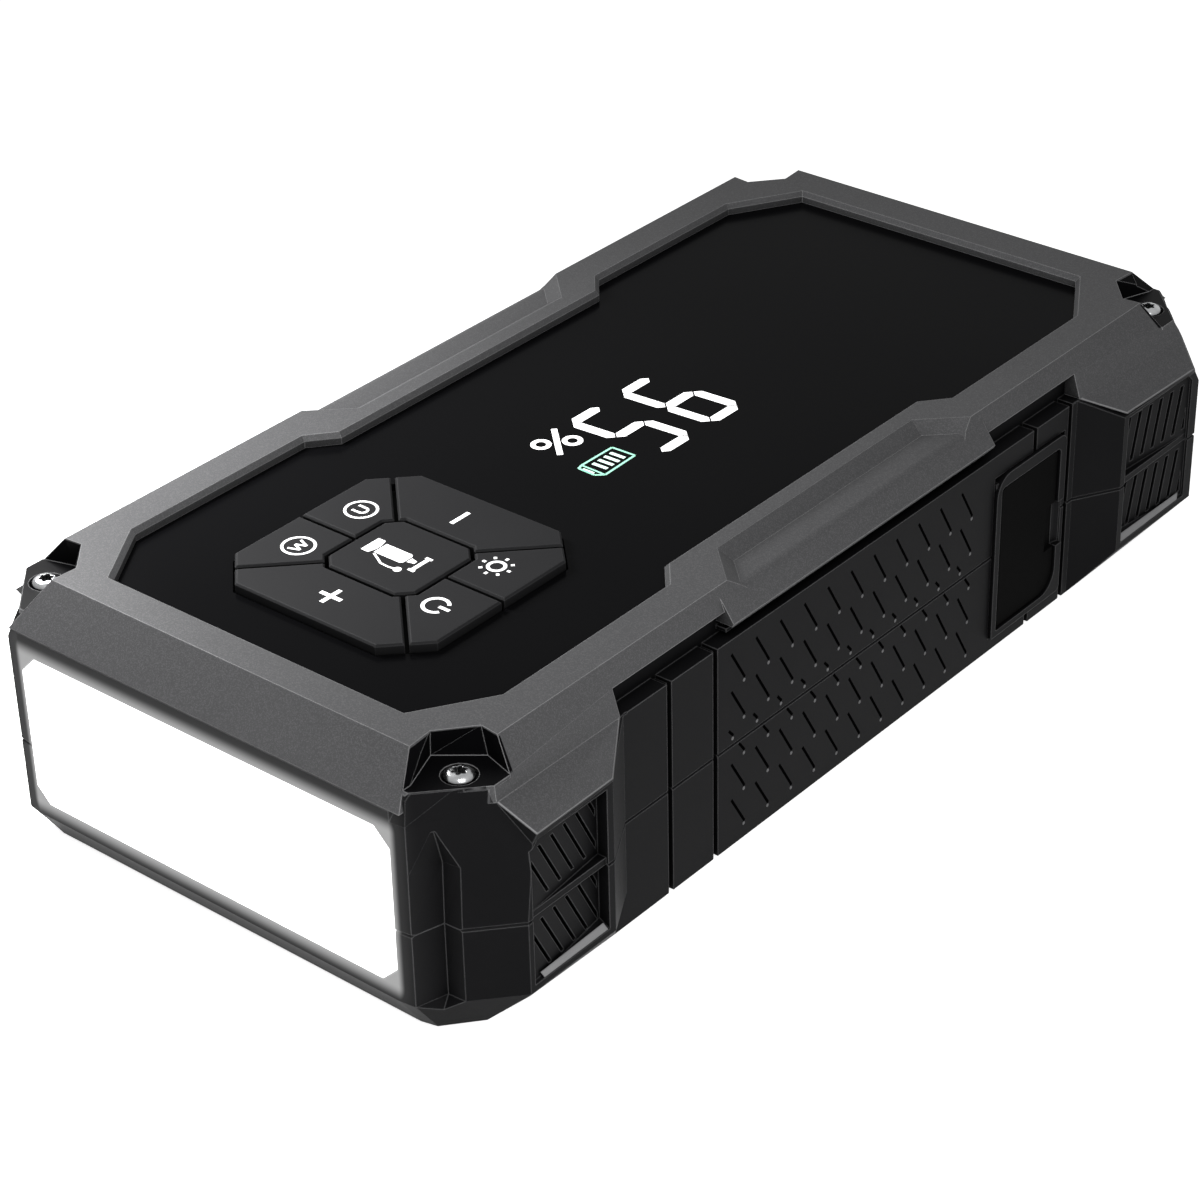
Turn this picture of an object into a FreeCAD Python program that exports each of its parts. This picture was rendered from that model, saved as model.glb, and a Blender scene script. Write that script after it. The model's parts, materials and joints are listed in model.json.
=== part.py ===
import FreeCAD, Part
import math
import os

# Jump starter pack with a tyre inflator inside and a lamp across one end
# Millimetres. +Z up, Y along the length, lamp at -Y, flap of the jump socket on +X.
# The origin is the middle of the footprint, on the surface that the feet stand on.
# IN sizes run inward from the side wall, BACK sizes inward from the end of the case,
# and DROP sizes down from the rim.

# Case, sizes in plan
CASE_LENGTH = 219.2
WALL_WIDTH = 102.2
GUARD_PROUD = 5.1
GUARD_BACK = 13.9
GUARD_LENGTH = 20.8
GUARD_BLEND = 8.9
GUARD_LEAN = 2.9
FAR_PAST = 6.1
FAR_WAIST_DROP = 17.8
FAR_TIP = (-0.9, 2.4, -1.4)
FAR_CREASE = (1.1, 1.4, -0.5)
FACE_IN = 9.8
STRIP_IN = 6.9
STRIP_BACK = 0.4
STRIP_TOP_IN = 8.2
STRIP_TOP_BACK = 2.3
VALLEY_IN = 5.25
VALLEY_BACK = 6.1
VALLEY_LEAN = 0.6
CREASE_IN = 1.8
CREASE_BACK = 6.3
CREASE_TOP_IN = 2.8
CREASE_TOP_BACK = 8.1
WALL = 2.5
FLOOR = 2.2
END_WALL = 7.6
INSIDE_CORNER = 15.0
NECK_WALL = 5.7
NECK_END = 14.6
NECK_CORNER = 8.0

# Case, heights
CASE_HEIGHT = 50.7
FOOT_PROUD = 0.8
FOOT_SINK = 0.8
FOOT_RADIUS = 6.0
FOOT_IN = 13.1
FOOT_BACK = 25.6
CHAMFER_RISE = 6.6
SPLIT_Z = 21.1
SEAM_BEVEL = 0.3
LEDGE_DROP = 8.8
LEDGE_THICK = 2.5
EAVES_DROP = 4.1
POCKET_DROP = 4.6
KNEE_DROP = 9.2
GUARD_DROP = 15.4

# Tucked edge round the foot of the case
TUCK_GUARD_IN = 0.4
TUCK_GUARD_BACK = 5.7
TUCK_STRIP_BACK = 5.0
TUCK_FACE_BACK = 4.3
TUCK_CREASE_BACK = 4.7

# Flute in each corner pillar
FLUTE_FOOT_RISE = 4.4
FLUTE_FULL_DROP = 18.4
FLUTE_TOP_DROP = 11.1
FLUTE_TIP = 0.12
FLUTE_STRIP_SHARE = 1.12
FLUTE_CREASE_SHARE = 1.03
FLUTE_OUT = 3.0

# Frame over the top
RIM_IN = 3.2
RIM_BACK = 7.2
BAND_DROP = 7.2
BAND_RUN = 7.1
BAND_CUT = 8.3
BAND_SPREAD = 3.8
BAND_DEEP = 8.0
PAST_BAND_REACH = 20.0
PAST_BAND_RISE = 9.0
FRAME_DEEP = 14.0
FRAME_END = 7.5
EAVES_OUT = 1.7
NOTCH_SHIFT = 0.7
RAIL_Y = 38.0
RAIL_OUT = 0.4
RAIL_EDGE_DROP = 5.8
RAIL_BOTTOM_DROP = 6.4
RAIL_RUN = 4.1
RAIL_UNDERCUT = 0.3
SCOOP_REACH = 20.0
SCOOP_FOOT_BACK = 0.9
SHOULDER_PAST = 5.0
RAIL_SCOOP = 1.9
RAIL_INNER_IN = 10.8
RAIL_STEP = 2.8
RAIL_CORNER_BACK = 10.0
RAIL_CORNER_RUN = 0.95
RAIL_SHOULDER = 2.2
LIP_IN = 3.3
LIP_LINE_DROP = 7.9
LIP_LINE_IN = 1.2
LIP_LINE_THICK = 0.7
BROW_TIP_IN = -7.2
BROW_TIP_BACK = 14.2
BROW_TIP_DROP = 12.1
BROW_APEX_IN = 5.0
BROW_APEX_BACK = 11.0
BROW_APEX_RISE = 2.2
FLARE_ROOM_IN = 2.0
FLARE_ROOM_OUT = 9.0
FLARE_ROOT_IN = 2.0
FLARE_ROOT_RISE = 1.0
FLARE_ROOT_HIGH = 7.0
FLARE_ROOT_PAST = 3.0
BROW_REAR_IN = -5.4
BROW_REAR_BACK = 34.5
BROW_REAR_DROP = 13.7
CREASE_OUT = 1.2
CAP_PAST = 3.4
BROW_CREASE_DROP = 7.6
PLATE = 0.6

# Corner pockets: pairs of IN and BACK, at the rim and at the floor
POCKET_TOP = [(11.5, 7.2), (11.9, 12.2), (6.8, 18.1), (3.2, 17.7)]
POCKET_FOOT = [(8.3, 2.3), (12.1, 12.2), (5.2, 17.6), (-0.9, 15.8)]
POCKET_FRONT = (-0.9, 12.1)
POCKET_REACH = 10.9
POCKET_FOOT_BACK = 12.9
POCKET_FOOT_IN = 5.1
POCKET_TOP_BACK = 16.0
POCKET_TOP_IN = 4.1
POCKET_OUT = 6.4
CORE_INNER = [(13.1, 13.1), (6.1, 18.6)]
CORE_SIDE_BACK = 17.1
CORE_BAND_BACK = 5.6
CORE_DROP = 2.4

# Window in the frame, half of its outline
WINDOW_CORNER_IN = 18.7
WINDOW_IN = 10.5
WAIST_IN = 14.7
WINDOW_NEAR_BACK = 14.1
WINDOW_NEAR_CORNER = 12.7
WINDOW_FAR_BACK = 15.6
WINDOW_FAR_CORNER = 13.8
WAIST_PAST = 4.0
WAIST_SHORT = 1.0
WAIST_FAR_PAST = 1.4
WAIST_FAR_SHORT = 3.6
WINDOW_BEVEL = 0.8
WINDOW_BEVEL_DROP = 0.9
WINDOW_CUT_BELOW = 5.0

# Screen panel and keypad
PANEL_DROP = 2.2
PANEL_THICK = 2.0
PANEL_LAP = 1.6
PANEL_FIT = 0.2
KEYPAD_BACK = 48.1
KEYPAD_WIDTH = 45.2
KEYPAD_LENGTH = 45.5
KEYPAD_CORNER = 7.0
KEYPAD_FIT = 0.3
FLANGE_LAP = 3.5
KEY_PROUD = 1.7
KEY_THICK = 2.2
KEY_BEVEL = 0.35
KEY_GAP = 0.7
KEY_TRAVEL = 0.5
KEY_REST = 0.2
HUB_WIDTH = 19.4
HUB_LENGTH = 18.4
HUB_CORNER = 2.4
HUB_HOLE_CORNER = 0.4
STEM_RADIUS = 1.8
STEM_FIT = 0.3
BASE_THICK = 1.2
DOME_RADIUS = 2.5
DOME_HEIGHT = 0.5
DOME_FIT = 0.1
BOARD_THICK = 1.2
DISPLAY_WIDTH = 30.0
DISPLAY_LENGTH = 44.0
DISPLAY_THICK = 2.0

# Lamp and the cover plate of the other end
LENS_Z0 = 10.1
LENS_DROP = 11.0
LENS_CORNER = 3.2
LENS_CORNER_SHARE = 0.4
LENS_THICK = 2.8
LENS_PROUD = 0.4
LENS_FIT = 0.15
LENS_SHY = 0.3
THROAT_DEPTH = 12.0
TRAY_STEP = 2.4
TRAY_DEPTH = 6.5
TRAY_WALL = 1.4
LED_COLUMNS = 9
LED_ROWS = 2
LED_SIZE = 3.0
LED_HEIGHT = 0.7
LED_MARGIN = 8.0
LED_RISE = 10.0
LAMP_BOARD_IN = 17.1
LAMP_BOARD_MARGIN = 5.0

# Side walls
GROOVE_SHIFTS = [(-1, 12.3), (-1, 24.3), (1, 14.6), (1, 2.9)]
GROOVE_WIDTH = 1.2
GROOVE_OUT = 3.0
GROOVE_LEDGE_DROP = 0.7
GROOVE_DEPTH = 1.0
VENT_PAST = 1.5
VENT_SHORT = 1.1
VENT_Z0 = 8.6
VENT_TOP_DROP = 15.2
VENT_DEPTH = 2.2
VENT_SHALLOW = 0.5
VENT_SLOPE = 1.3
VENT_SILL_SHARE = 1.45
VENT_OUT = 9.0
VENT_CORNER = 1.6
VENT_BAR = 1.3
VENT_BAR_PROUD = 0.5
VENT_SHARE = 0.77
SLOT_PITCH = 3.35
SLOT_COUNT = 7
SLOT_DEPTH = 1.4
SLOT_RISE = 9.8
SLOT_CLEAR = 1.3
SLOT_START = 0.1
SLOT_MARGIN = 0.2
FRONT_SLOT = 0.7
REAR_SLOT = 1.1
FRONT_SLANT = 0.54
REAR_SLANT = 0.21

# Port with its flap
PORT_BACK = 49.4
PORT_LENGTH = 19.5
PORT_Z0 = 4.8
PORT_DROP = 15.8
PORT_CORNERS = [0.5, 4.5, 1.2, 1.0]
FLAP_CORNERS = [0.5, 4.2, 0.9, 2.2]
BAND_CORNERS = [0.4, 1.0, 2.0, 4.2]
BAND_LEFT = 1.4
BAND_RIGHT = 1.9
BAND_TOP = 2.4
BAND_BOTTOM = 1.2
PORT_PROUD = 0.7
PORT_FIT = 0.1
FLANGE_SINK = 1.0
SLEEVE_WALL = 1.0
SLEEVE_DEPTH = 4.6
FLAP_SUNK = 0.5
FLAP_THICK = 1.8
FLAP_GAP = 0.3
FLAP_TOP_GAP = 0.6
PIN_RADIUS = 0.6
PIN_FIT = 0.05
PIN_LENGTH = 0.7
PIN_END_FIT = 0.1
NOTCH_Z0 = 14.0
NOTCH_Z1 = 23.4
NOTCH_RADIUS = 5.0
NOTCH_BITE = 1.5
NOTCH_EDGE = 0.5
SOCKET_BACK = 3.2
SOCKET_WIDTH = 13.0
SOCKET_HEIGHT = 24.0
SOCKET_DEPTH = 17.0
SOCKET_KEY = 3.0
SOCKET_PLATE = 1.4
CONTACT_PITCH = 11.0
CONTACT_RADIUS = 3.0
CONTACT_BORE = 1.9
CONTACT_LENGTH = 15.0
CONTACT_SUNK = 0.6
CONTACT_FLOOR = 2.0
CONTACT_SIDES = 16

# Battery and boards
CELL_COUNT = 4
CELL_GAP = 0.2
CELL_CHAMFER = 2.0
TRAY_FIT = 0.3
TRAY_THICK = 1.6
TRAY_HEIGHT = 18.0
BATTERY_FRONT_GAP = 5.6
BATTERY_REAR_GAP = 5.4
BATTERY_SIDE_GAP = 7.7
BATTERY_TOP_GAP = 2.4
STRAP_WIDTH = 12.0
STRAP_THICK = 0.6
STRAP_SHIFT = 25.0
MAIN_DROP = 13.3
MAIN_SIDE_GAP = 5.6
MAIN_PAST = 3.0
MAIN_CORNER = 4.5
POST_RADIUS = 2.2
POST_SHIFT = 1.3
POST_BACK = 6.0
SINK_WIDTH = 24.0
SINK_LENGTH = 30.0
SINK_FINS = 6
SINK_FIN = 1.2
SINK_HEIGHT = 4.5
SINK_MARGIN = 4.0
LEAD_RADIUS = 2.2
LEAD_SIDES = 8
LEAD_RUN = 12.0
LEAD_ROOM = 4.0
LEAD_START = 5.0
POSITIVE_LEAD_IN = 13.0
NEGATIVE_LEAD_IN = 23.0

# Compressor, placed from the far end
HEAD_BACK = 25.6
HEAD_SIZE = 22.0
HEAD_THICK = 6.0
HEAD_CHAMFER = 2.5
BARREL_X = 8.5
BARREL_LENGTH = 22.0
BARREL_RADIUS = 8.5
BARREL_FINS = 4
FIN_SIZE = 21.0
FIN_THICK = 1.4
GEAR_TO_BARREL = 20.2
MOTOR_Z = 22.0
MOTOR_RADIUS = 13.8
MOTOR_LENGTH = 38.0
MOTOR_CHAMFER = 1.2
MOTOR_SIDES = 32
MOTOR_X1 = -5.0
SHAFT_RADIUS = 1.5
SHAFT_FIT = 0.08
SHAFT_SEAT = 9.0
MODULE = 0.8
PINION_TEETH = 12
GEAR_TEETH = 40
ROOT_SHARE = 1.2
TIP_SHARE = 0.9
TOOTH_HALF_ROOT = 0.26
TOOTH_HALF_TIP = 0.096
GEAR_WIDTH = 4.0
GEAR_ROOM = 0.8
PINION_WIDTH = 5.0
PINION_ROOM = 0.4
PLATE_THICK = 2.0
BRACKET_FOOT = 12.0
BRACKET_REACH = 13.0
BRACKET_SHELF = 11.0
AXLE_RADIUS = 2.0
AXLE_FIT = 0.06
AXLE_PAST = 0.6
CRANK_RADIUS = 6.5
CRANK_PIN = 1.6
CRANK_PIN_LENGTH = 6.0
TUBE_RADIUS = 3.2
TUBE_WALL = 1.2
NIPPLE_LENGTH = 4.0
OUTLET_RADIUS = 4.5
OUTLET_BORE = 1.8
OUTLET_NUT = 7.0
OUTLET_NUT_THICK = 3.5
OUTLET_TAIL = 3.0
NUT_SIDES = 6
TUBE_SIDES = 12
ROUND_SIDES = 24
CORNER_STEPS = 6

# Ports of the cover plate
USB_A_X = -24.0
USB_C_X = -8.0
USB_Z = 25.0
USB_A_WIDTH = 13.2
USB_A_HEIGHT = 5.8
USB_A_TONGUE = 1.8
USB_A_CORNER = 0.5
USB_C_WIDTH = 9.0
USB_C_HEIGHT = 3.2
USB_C_TONGUE = 0.7
USB_C_CORNER = 1.1
USB_SHELL = 0.4
USB_DEPTH = 12.0
USB_GAP = 0.2
USB_SUNK = 0.2
TONGUE_IN = 1.4
TONGUE_SUNK = 1.0

# Screws
HEAD_RADIUS = 2.55
HEAD_HEIGHT = 1.8
HEAD_CHAMFER_SIZE = 0.7
SCREW_RADIUS = 1.5
SCREW_SIDES = 8
SCREW_LENGTH = 16.0
SCREW_END_ROOM = 1.0
SCREW_IN = 5.2
SCREW_BACK = 11.1
COUNTERBORE = 3.0
COUNTERBORE_DEPTH = 1.0
CASE_SCREW_IN = 6.2
CASE_SCREW_BACK = 12.1
CASE_SCREW_SUNK = 6.0

# Places that follow from the sizes above
END_Y = CASE_LENGTH / 2.0
WALL_X = WALL_WIDTH / 2.0
RIM_Z = CASE_HEIGHT
FLOOR_Z = FOOT_PROUD
INSIDE_Z = FLOOR_Z + FLOOR
LEDGE_Z = RIM_Z - LEDGE_DROP
EAVES_Z = RIM_Z - EAVES_DROP
POCKET_Z = RIM_Z - POCKET_DROP
KNEE_Z = RIM_Z - KNEE_DROP
GUARD_Z = RIM_Z - GUARD_DROP
GUARD_X = WALL_X + GUARD_PROUD
GUARD_FRONT_Y = END_Y - GUARD_BACK
GUARD_REAR_Y = GUARD_FRONT_Y - GUARD_LENGTH
BLEND_Y = GUARD_REAR_Y - GUARD_BLEND
NOTCH_Y = BLEND_Y + NOTCH_SHIFT
RIM_X = WALL_X - RIM_IN
RIM_Y = END_Y - RIM_BACK
BAND_X = RIM_X - BAND_CUT
BAND_Z = RIM_Z - BAND_DROP
BAND_Y = RIM_Y + BAND_RUN
FRAME_X = RIM_X - FRAME_DEEP
PANEL_Z = RIM_Z - PANEL_DROP
PANEL_UNDER = PANEL_Z - PANEL_THICK
KEYPAD_Y = KEYPAD_BACK - END_Y
KEY_TOP = PANEL_Z + KEY_PROUD
KEY_FOOT = KEY_TOP - KEY_THICK
BASE_Z = KEY_FOOT - KEY_TRAVEL - KEY_REST
SWITCH_Z = BASE_Z - BASE_THICK
LENS_Z1 = RIM_Z - LENS_DROP
LENS_Y = END_Y + LENS_PROUD
LENS_BACK = LENS_Y - LENS_THICK
VENT_Y0 = GUARD_REAR_Y + VENT_PAST
VENT_Y1 = GUARD_FRONT_Y - VENT_SHORT
VENT_Z1 = RIM_Z - VENT_TOP_DROP
PORT_Y1 = END_Y - PORT_BACK
PORT_Y0 = PORT_Y1 - PORT_LENGTH
PORT_Z1 = RIM_Z - PORT_DROP
FLANGE_X = WALL_X + PORT_PROUD
FLAP_X1 = FLANGE_X - FLAP_SUNK
FLAP_X0 = FLAP_X1 - FLAP_THICK
PIVOT_X = FLAP_X1 - FLAP_THICK / 2.0
PIVOT_Y = PORT_Y0 + FLAP_GAP + FLAP_THICK / 2.0
SLEEVE_X = WALL_X - FLANGE_SINK - SLEEVE_DEPTH
SOCKET_X = FLAP_X0 - SOCKET_BACK
PORT_Y = (PORT_Y0 + PORT_Y1) / 2.0
PORT_Z = (PORT_Z0 + PORT_Z1) / 2.0
HEAD_Y = END_Y - HEAD_BACK - HEAD_THICK
BARREL_Y0 = HEAD_Y - BARREL_LENGTH
GEAR_Y = BARREL_Y0 - GEAR_TO_BARREL
MOTOR_Y = GEAR_Y - MODULE * (PINION_TEETH + GEAR_TEETH) / 2.0
MAIN_Z = RIM_Z - MAIN_DROP
BATTERY_Y0 = TRAY_DEPTH + BOARD_THICK - LENS_BACK + BATTERY_FRONT_GAP + TRAY_THICK + TRAY_FIT
BATTERY_Y1 = MOTOR_Y - MOTOR_RADIUS - BATTERY_REAR_GAP - TRAY_THICK - TRAY_FIT
BATTERY_Y = (BATTERY_Y0 + BATTERY_Y1) / 2.0
CELL_LENGTH = BATTERY_Y1 - BATTERY_Y0
CELL_WIDTH = WALL_WIDTH - 2 * (WALL + BATTERY_SIDE_GAP + TRAY_THICK + TRAY_FIT)
CELL_ROOM = MAIN_Z - BATTERY_TOP_GAP - STRAP_THICK - INSIDE_Z - TRAY_THICK
CELL_THICK = CELL_ROOM / CELL_COUNT - CELL_GAP
MAIN_WIDTH = WALL_WIDTH - 2 * (WALL + MAIN_SIDE_GAP)
MAIN_LENGTH = CELL_LENGTH + 2 * MAIN_PAST
FAR = 400.0
OVER = 1.0
TOUCH = 0.01
FLAT = 1e-6


def vec(x, y, z=0.0):
    return FreeCAD.Vector(x, y, z)


def spot(inward, back):
    return WALL_X - inward, END_Y - back


def spots(pairs):
    return [spot(inward, back) for inward, back in pairs]


def toward(start, end, share):
    return start[0] + share * (end[0] - start[0]), start[1] + share * (end[1] - start[1])


def box(x0, x1, y0, y1, z0, z1):
    return Part.makeBox(x1 - x0, y1 - y0, z1 - z0, vec(x0, y0, z0))


def rod_x(radius, x0, x1, y, z):
    return Part.makeCylinder(radius, x1 - x0, vec(x0, y, z), vec(1, 0, 0))


def tube_y(radius, sides, y0, y1):
    return prism_y(many_sided(radius, sides, BARREL_X, MOTOR_Z), y0, y1)


def rod_z(radius, z0, z1, x, y):
    return Part.makeCylinder(radius, z1 - z0, vec(x, y, z0))


def ring_wire(points):
    corners = list(points)
    return Part.makePolygon(corners + [corners[0]])


def prism(points, z0, z1):
    face = Part.Face(ring_wire([vec(x, y, z0) for x, y in points]))
    return face.extrude(vec(0, 0, z1 - z0))


def prism_x(points, x0, x1):
    face = Part.Face(ring_wire([vec(x0, y, z) for y, z in points]))
    return face.extrude(vec(x1 - x0, 0, 0))


def prism_y(points, y0, y1):
    face = Part.Face(ring_wire([vec(x, y0, z) for x, z in points]))
    return face.extrude(vec(0, y1 - y0, 0))


def flat_faces(a, b, c, d):
    # One face where the four corners lie in a plane, else two triangles
    normal = (b - a).cross(c - a)
    if abs(normal.dot(d - a)) < FLAT * normal.Length:
        return [Part.Face(ring_wire([a, b, c, d]))]
    return [Part.Face(ring_wire([a, b, c])), Part.Face(ring_wire([a, c, d]))]


def faceted(rings):
    # A solid with flat faces through rings that have the same number of corners
    faces = [Part.Face(ring_wire(rings[0])), Part.Face(ring_wire(rings[-1]))]
    for low, high in zip(rings, rings[1:]):
        for i in range(len(low)):
            j = (i + 1) % len(low)
            faces += flat_faces(low[i], low[j], high[j], high[i])
    solid = Part.Solid(Part.Shell(faces))
    if solid.Volume < 0.0:
        solid.reverse()
    return solid


def stack(rings):
    return faceted([[vec(x, y, z) for x, y in points] for z, points in rings])


def stack_y(rings):
    return faceted([[vec(x, y, z) for x, z in points] for y, points in rings])


def smooth_y(rings):
    wires = [ring_wire([vec(x, y, z) for x, z in points]) for y, points in rings]
    return Part.makeLoft(wires, True, True)


def trim(shape, a, b, c):
    # Takes away the side that a right-handed turn from a over b to c looks to
    normal = (b - a).cross(c - a)
    block = Part.makeBox(FAR, FAR, FAR, vec(-FAR / 2.0, -FAR / 2.0, 0.0))
    block.Placement = FreeCAD.Placement(a, FreeCAD.Rotation(vec(0, 0, 1), normal))
    return shape.cut(block)


def mirrored(shape, axis):
    return shape.mirror(vec(0, 0, 0), axis)


def both_sides(shape):
    return [shape, mirrored(shape, vec(1, 0, 0))]


def both_ends(shape):
    return [shape, mirrored(shape, vec(0, 1, 0))]


def each_end(make):
    # Builds what stands at both ends, with the longer guards at the far end
    near = mirrored(make(0.0), vec(0, 1, 0))
    return both_sides(near) + both_sides(make(FAR_PAST))


def four_corners(shape):
    return both_sides(shape) + both_sides(mirrored(shape, vec(0, 1, 0)))


def many_sided(radius, sides, x, y):
    turn = 2.0 * math.pi / sides
    return [(x + radius * math.cos(i * turn), y + radius * math.sin(i * turn)) for i in range(sides)]


def four_way(quarter):
    first = list(quarter)
    second = [(-x, y) for x, y in first[::-1]]
    third = [(-x, -y) for x, y in first]
    fourth = [(x, -y) for x, y in first[::-1]]
    return first + second + third + fourth


def inset(points, distance):
    # Every edge of a left-turning outline moves in, and the corners follow
    moved = []
    for i in range(len(points)):
        ax, ay = points[i - 1]
        bx, by = points[i]
        cx, cy = points[(i + 1) % len(points)]
        before = math.hypot(bx - ax, by - ay)
        after = math.hypot(cx - bx, cy - by)
        n1 = (-(by - ay) / before, (bx - ax) / before)
        n2 = (-(cy - by) / after, (cx - bx) / after)
        share = distance / (1.0 + n1[0] * n2[0] + n1[1] * n2[1])
        moved.append((bx + share * (n1[0] + n2[0]), by + share * (n1[1] + n2[1])))
    return moved


def octagon(width, length, corner, y=0.0):
    x = width / 2.0
    h = length / 2.0
    quarter = [(x, h - corner), (x - corner, h)]
    return [(px, py + y) for px, py in four_way(quarter)]


def rounded(y0, y1, z0, z1, radii, x0, x1):
    # A block along X whose four corners, from low near to high near, have their own radii
    corners = [(y0, z0, 1, 1), (y1, z0, -1, 1), (y1, z1, -1, -1), (y0, z1, 1, -1)]
    points = []
    for i in range(4):
        y, z, inward, upward = corners[i]
        for j in range(CORNER_STEPS + 1):
            angle = math.pi * (1.0 + (i + j / CORNER_STEPS) / 2.0)
            points.append((y + radii[i] * (inward + math.cos(angle)),
                           z + radii[i] * (upward + math.sin(angle))))
    return prism_x(points, x0, x1)


def at_corner(edge, y, z):
    along = abs(edge.Vertexes[0].X - edge.Vertexes[-1].X) > 1e-3
    middle = edge.CenterOfMass
    return along and abs(middle.y - y) < 1e-3 and abs(middle.z - z) < 1e-3


BLEND = (WALL_X, BLEND_Y)
REAR = (GUARD_X, GUARD_REAR_Y)
FRONT = (GUARD_X, GUARD_FRONT_Y)
FRONT_TOP = (GUARD_X, GUARD_FRONT_Y - GUARD_LEAN)
CREASE = spot(CREASE_IN, CREASE_BACK)
CREASE_TOP = spot(CREASE_TOP_IN, CREASE_TOP_BACK)
STRIP = spot(STRIP_IN, STRIP_BACK)
STRIP_TOP = spot(STRIP_TOP_IN, STRIP_TOP_BACK)
VALLEY = spot(VALLEY_IN, VALLEY_BACK)
FACE = spot(FACE_IN, 0.0)


def case_plan(strip, crease, front, past):
    return two_ended([BLEND, REAR, front, crease, strip, FACE], 2, past)


def two_ended(quarter, longer, past):
    # The guards of the far end reach further, which moves one corner of the outline
    x, y = quarter[longer]
    far = quarter[:longer] + [(x, y + past)] + quarter[longer + 1:]
    whole = four_way(quarter)
    count = len(quarter)
    return far + [(-x, y) for x, y in far[::-1]] + whole[2 * count:]


def lean_share(z):
    # How far the leaning corners have moved in at a height above the seam
    return (z - SPLIT_Z) / (EAVES_Z - SPLIT_Z)


def lower_outside():
    whole = case_plan(STRIP, CREASE, FRONT, FAR_PAST)
    strip = (STRIP[0], END_Y - TUCK_STRIP_BACK)
    crease = (CREASE[0], CREASE[1] - TUCK_CREASE_BACK)
    front = (WALL_X - TUCK_GUARD_IN, GUARD_FRONT_Y - TUCK_GUARD_BACK)
    rear = (WALL_X, GUARD_REAR_Y - TUCK_GUARD_BACK)
    face = (FACE[0], END_Y - TUCK_FACE_BACK)
    tucked = two_ended([BLEND, rear, front, crease, strip, face], 2, FAR_PAST)
    return stack([(FLOOR_Z, tucked), (FLOOR_Z + CHAMFER_RISE, whole), (SPLIT_Z - SEAM_BEVEL, whole),
                  (SPLIT_Z, inset(whole, SEAM_BEVEL))])


def leaned_plan(z, past):
    share = lean_share(z)
    return case_plan(STRIP, toward(CREASE, CREASE_TOP, share), toward(FRONT, FRONT_TOP, share), past)


def upper_outside():
    whole = case_plan(STRIP, CREASE, FRONT, FAR_PAST)
    top = case_plan(STRIP_TOP, CREASE_TOP, FRONT_TOP, 0.0)
    waist = RIM_Z - FAR_WAIST_DROP
    upright = FAR_PAST + GUARD_LEAN * lean_share(waist)
    knee = upright * (EAVES_Z - KNEE_Z) / (EAVES_Z - waist)
    return stack([(SPLIT_Z, inset(whole, SEAM_BEVEL)), (SPLIT_Z + SEAM_BEVEL, whole),
                  (waist, leaned_plan(waist, upright)), (KNEE_Z, leaned_plan(KNEE_Z, knee)), (EAVES_Z, top)])


def flute_ring(z, depth, strip, crease, valley):
    # Section of the flute: from nothing on the pillar's face at depth 0 to the whole at depth 1
    middle = toward(strip, crease, 0.5)
    open_share = max(depth, FLUTE_TIP)
    bottom = toward(middle, valley, open_share)
    left = toward(bottom, toward(middle, strip, open_share), FLUTE_STRIP_SHARE)
    right = toward(bottom, toward(middle, crease, open_share), FLUTE_CREASE_SHARE)
    out = (WALL_X, END_Y + FLUTE_OUT)
    return z, [left, bottom, right, out]


def flute():
    leaned = lean_share(RIM_Z - FLUTE_FULL_DROP)
    crease = toward(CREASE, CREASE_TOP, leaned)
    valley = (VALLEY[0] - VALLEY_LEAN / 2.0, VALLEY[1] - VALLEY_LEAN)
    tip_crease = toward(CREASE, CREASE_TOP, lean_share(RIM_Z - FLUTE_TOP_DROP))
    return stack([
        flute_ring(FLOOR_Z + FLUTE_FOOT_RISE, 0.0, STRIP, CREASE, VALLEY),
        flute_ring(FLOOR_Z + CHAMFER_RISE, 1.0, STRIP, CREASE, VALLEY),
        flute_ring(SPLIT_Z, 1.0, STRIP, CREASE, VALLEY),
        flute_ring(RIM_Z - FLUTE_FULL_DROP, 1.0, STRIP, crease, valley),
        flute_ring(RIM_Z - FLUTE_TOP_DROP, 0.0, STRIP, tip_crease, valley)])


def pocket_tool():
    reach = WALL_X + POCKET_REACH
    out = END_Y + POCKET_OUT
    foot = spots(POCKET_FOOT) + [(reach, END_Y - POCKET_FOOT_BACK), (reach, out),
                                 (WALL_X - POCKET_FOOT_IN, out)]
    top = spots(POCKET_TOP) + [(reach, END_Y - POCKET_TOP_BACK), (reach, out), (WALL_X - POCKET_TOP_IN, out)]
    return stack([(POCKET_Z, foot), (RIM_Z + TOUCH, top)])


def pillar_core():
    # The black pillar that carries the floor plate of a corner pocket
    side = WALL_X - POCKET_FRONT[0] - PLATE
    out = END_Y + POCKET_OUT
    plan = spots(CORE_INNER) + [(side, END_Y - CORE_SIDE_BACK), (side, out)]
    plan += [(BAND_X + BAND_SPREAD, out), (BAND_X + BAND_SPREAD, END_Y - CORE_BAND_BACK)]
    return prism(plan, BAND_Z - CORE_DROP, POCKET_Z - PLATE)


def pocket_plate():
    edge = [spot(*POCKET_FOOT[0]), (FRAME_X, END_Y - POCKET_FOOT[0][1]), (FRAME_X, END_Y - FRAME_DEEP)]
    return prism(edge + spots([POCKET_FOOT[2], POCKET_FOOT[3], POCKET_FRONT]), POCKET_Z - PLATE, POCKET_Z)


def end_band():
    inner = RIM_Y - BAND_DEEP
    low_x = BAND_X + BAND_SPREAD
    low = [(-low_x, inner), (low_x, inner), (low_x, BAND_Y), (-low_x, BAND_Y)]
    high = [(-BAND_X, inner), (BAND_X, inner), (BAND_X, RIM_Y), (-BAND_X, RIM_Y)]
    return stack([(BAND_Z, low), (RIM_Z, high)])


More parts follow.
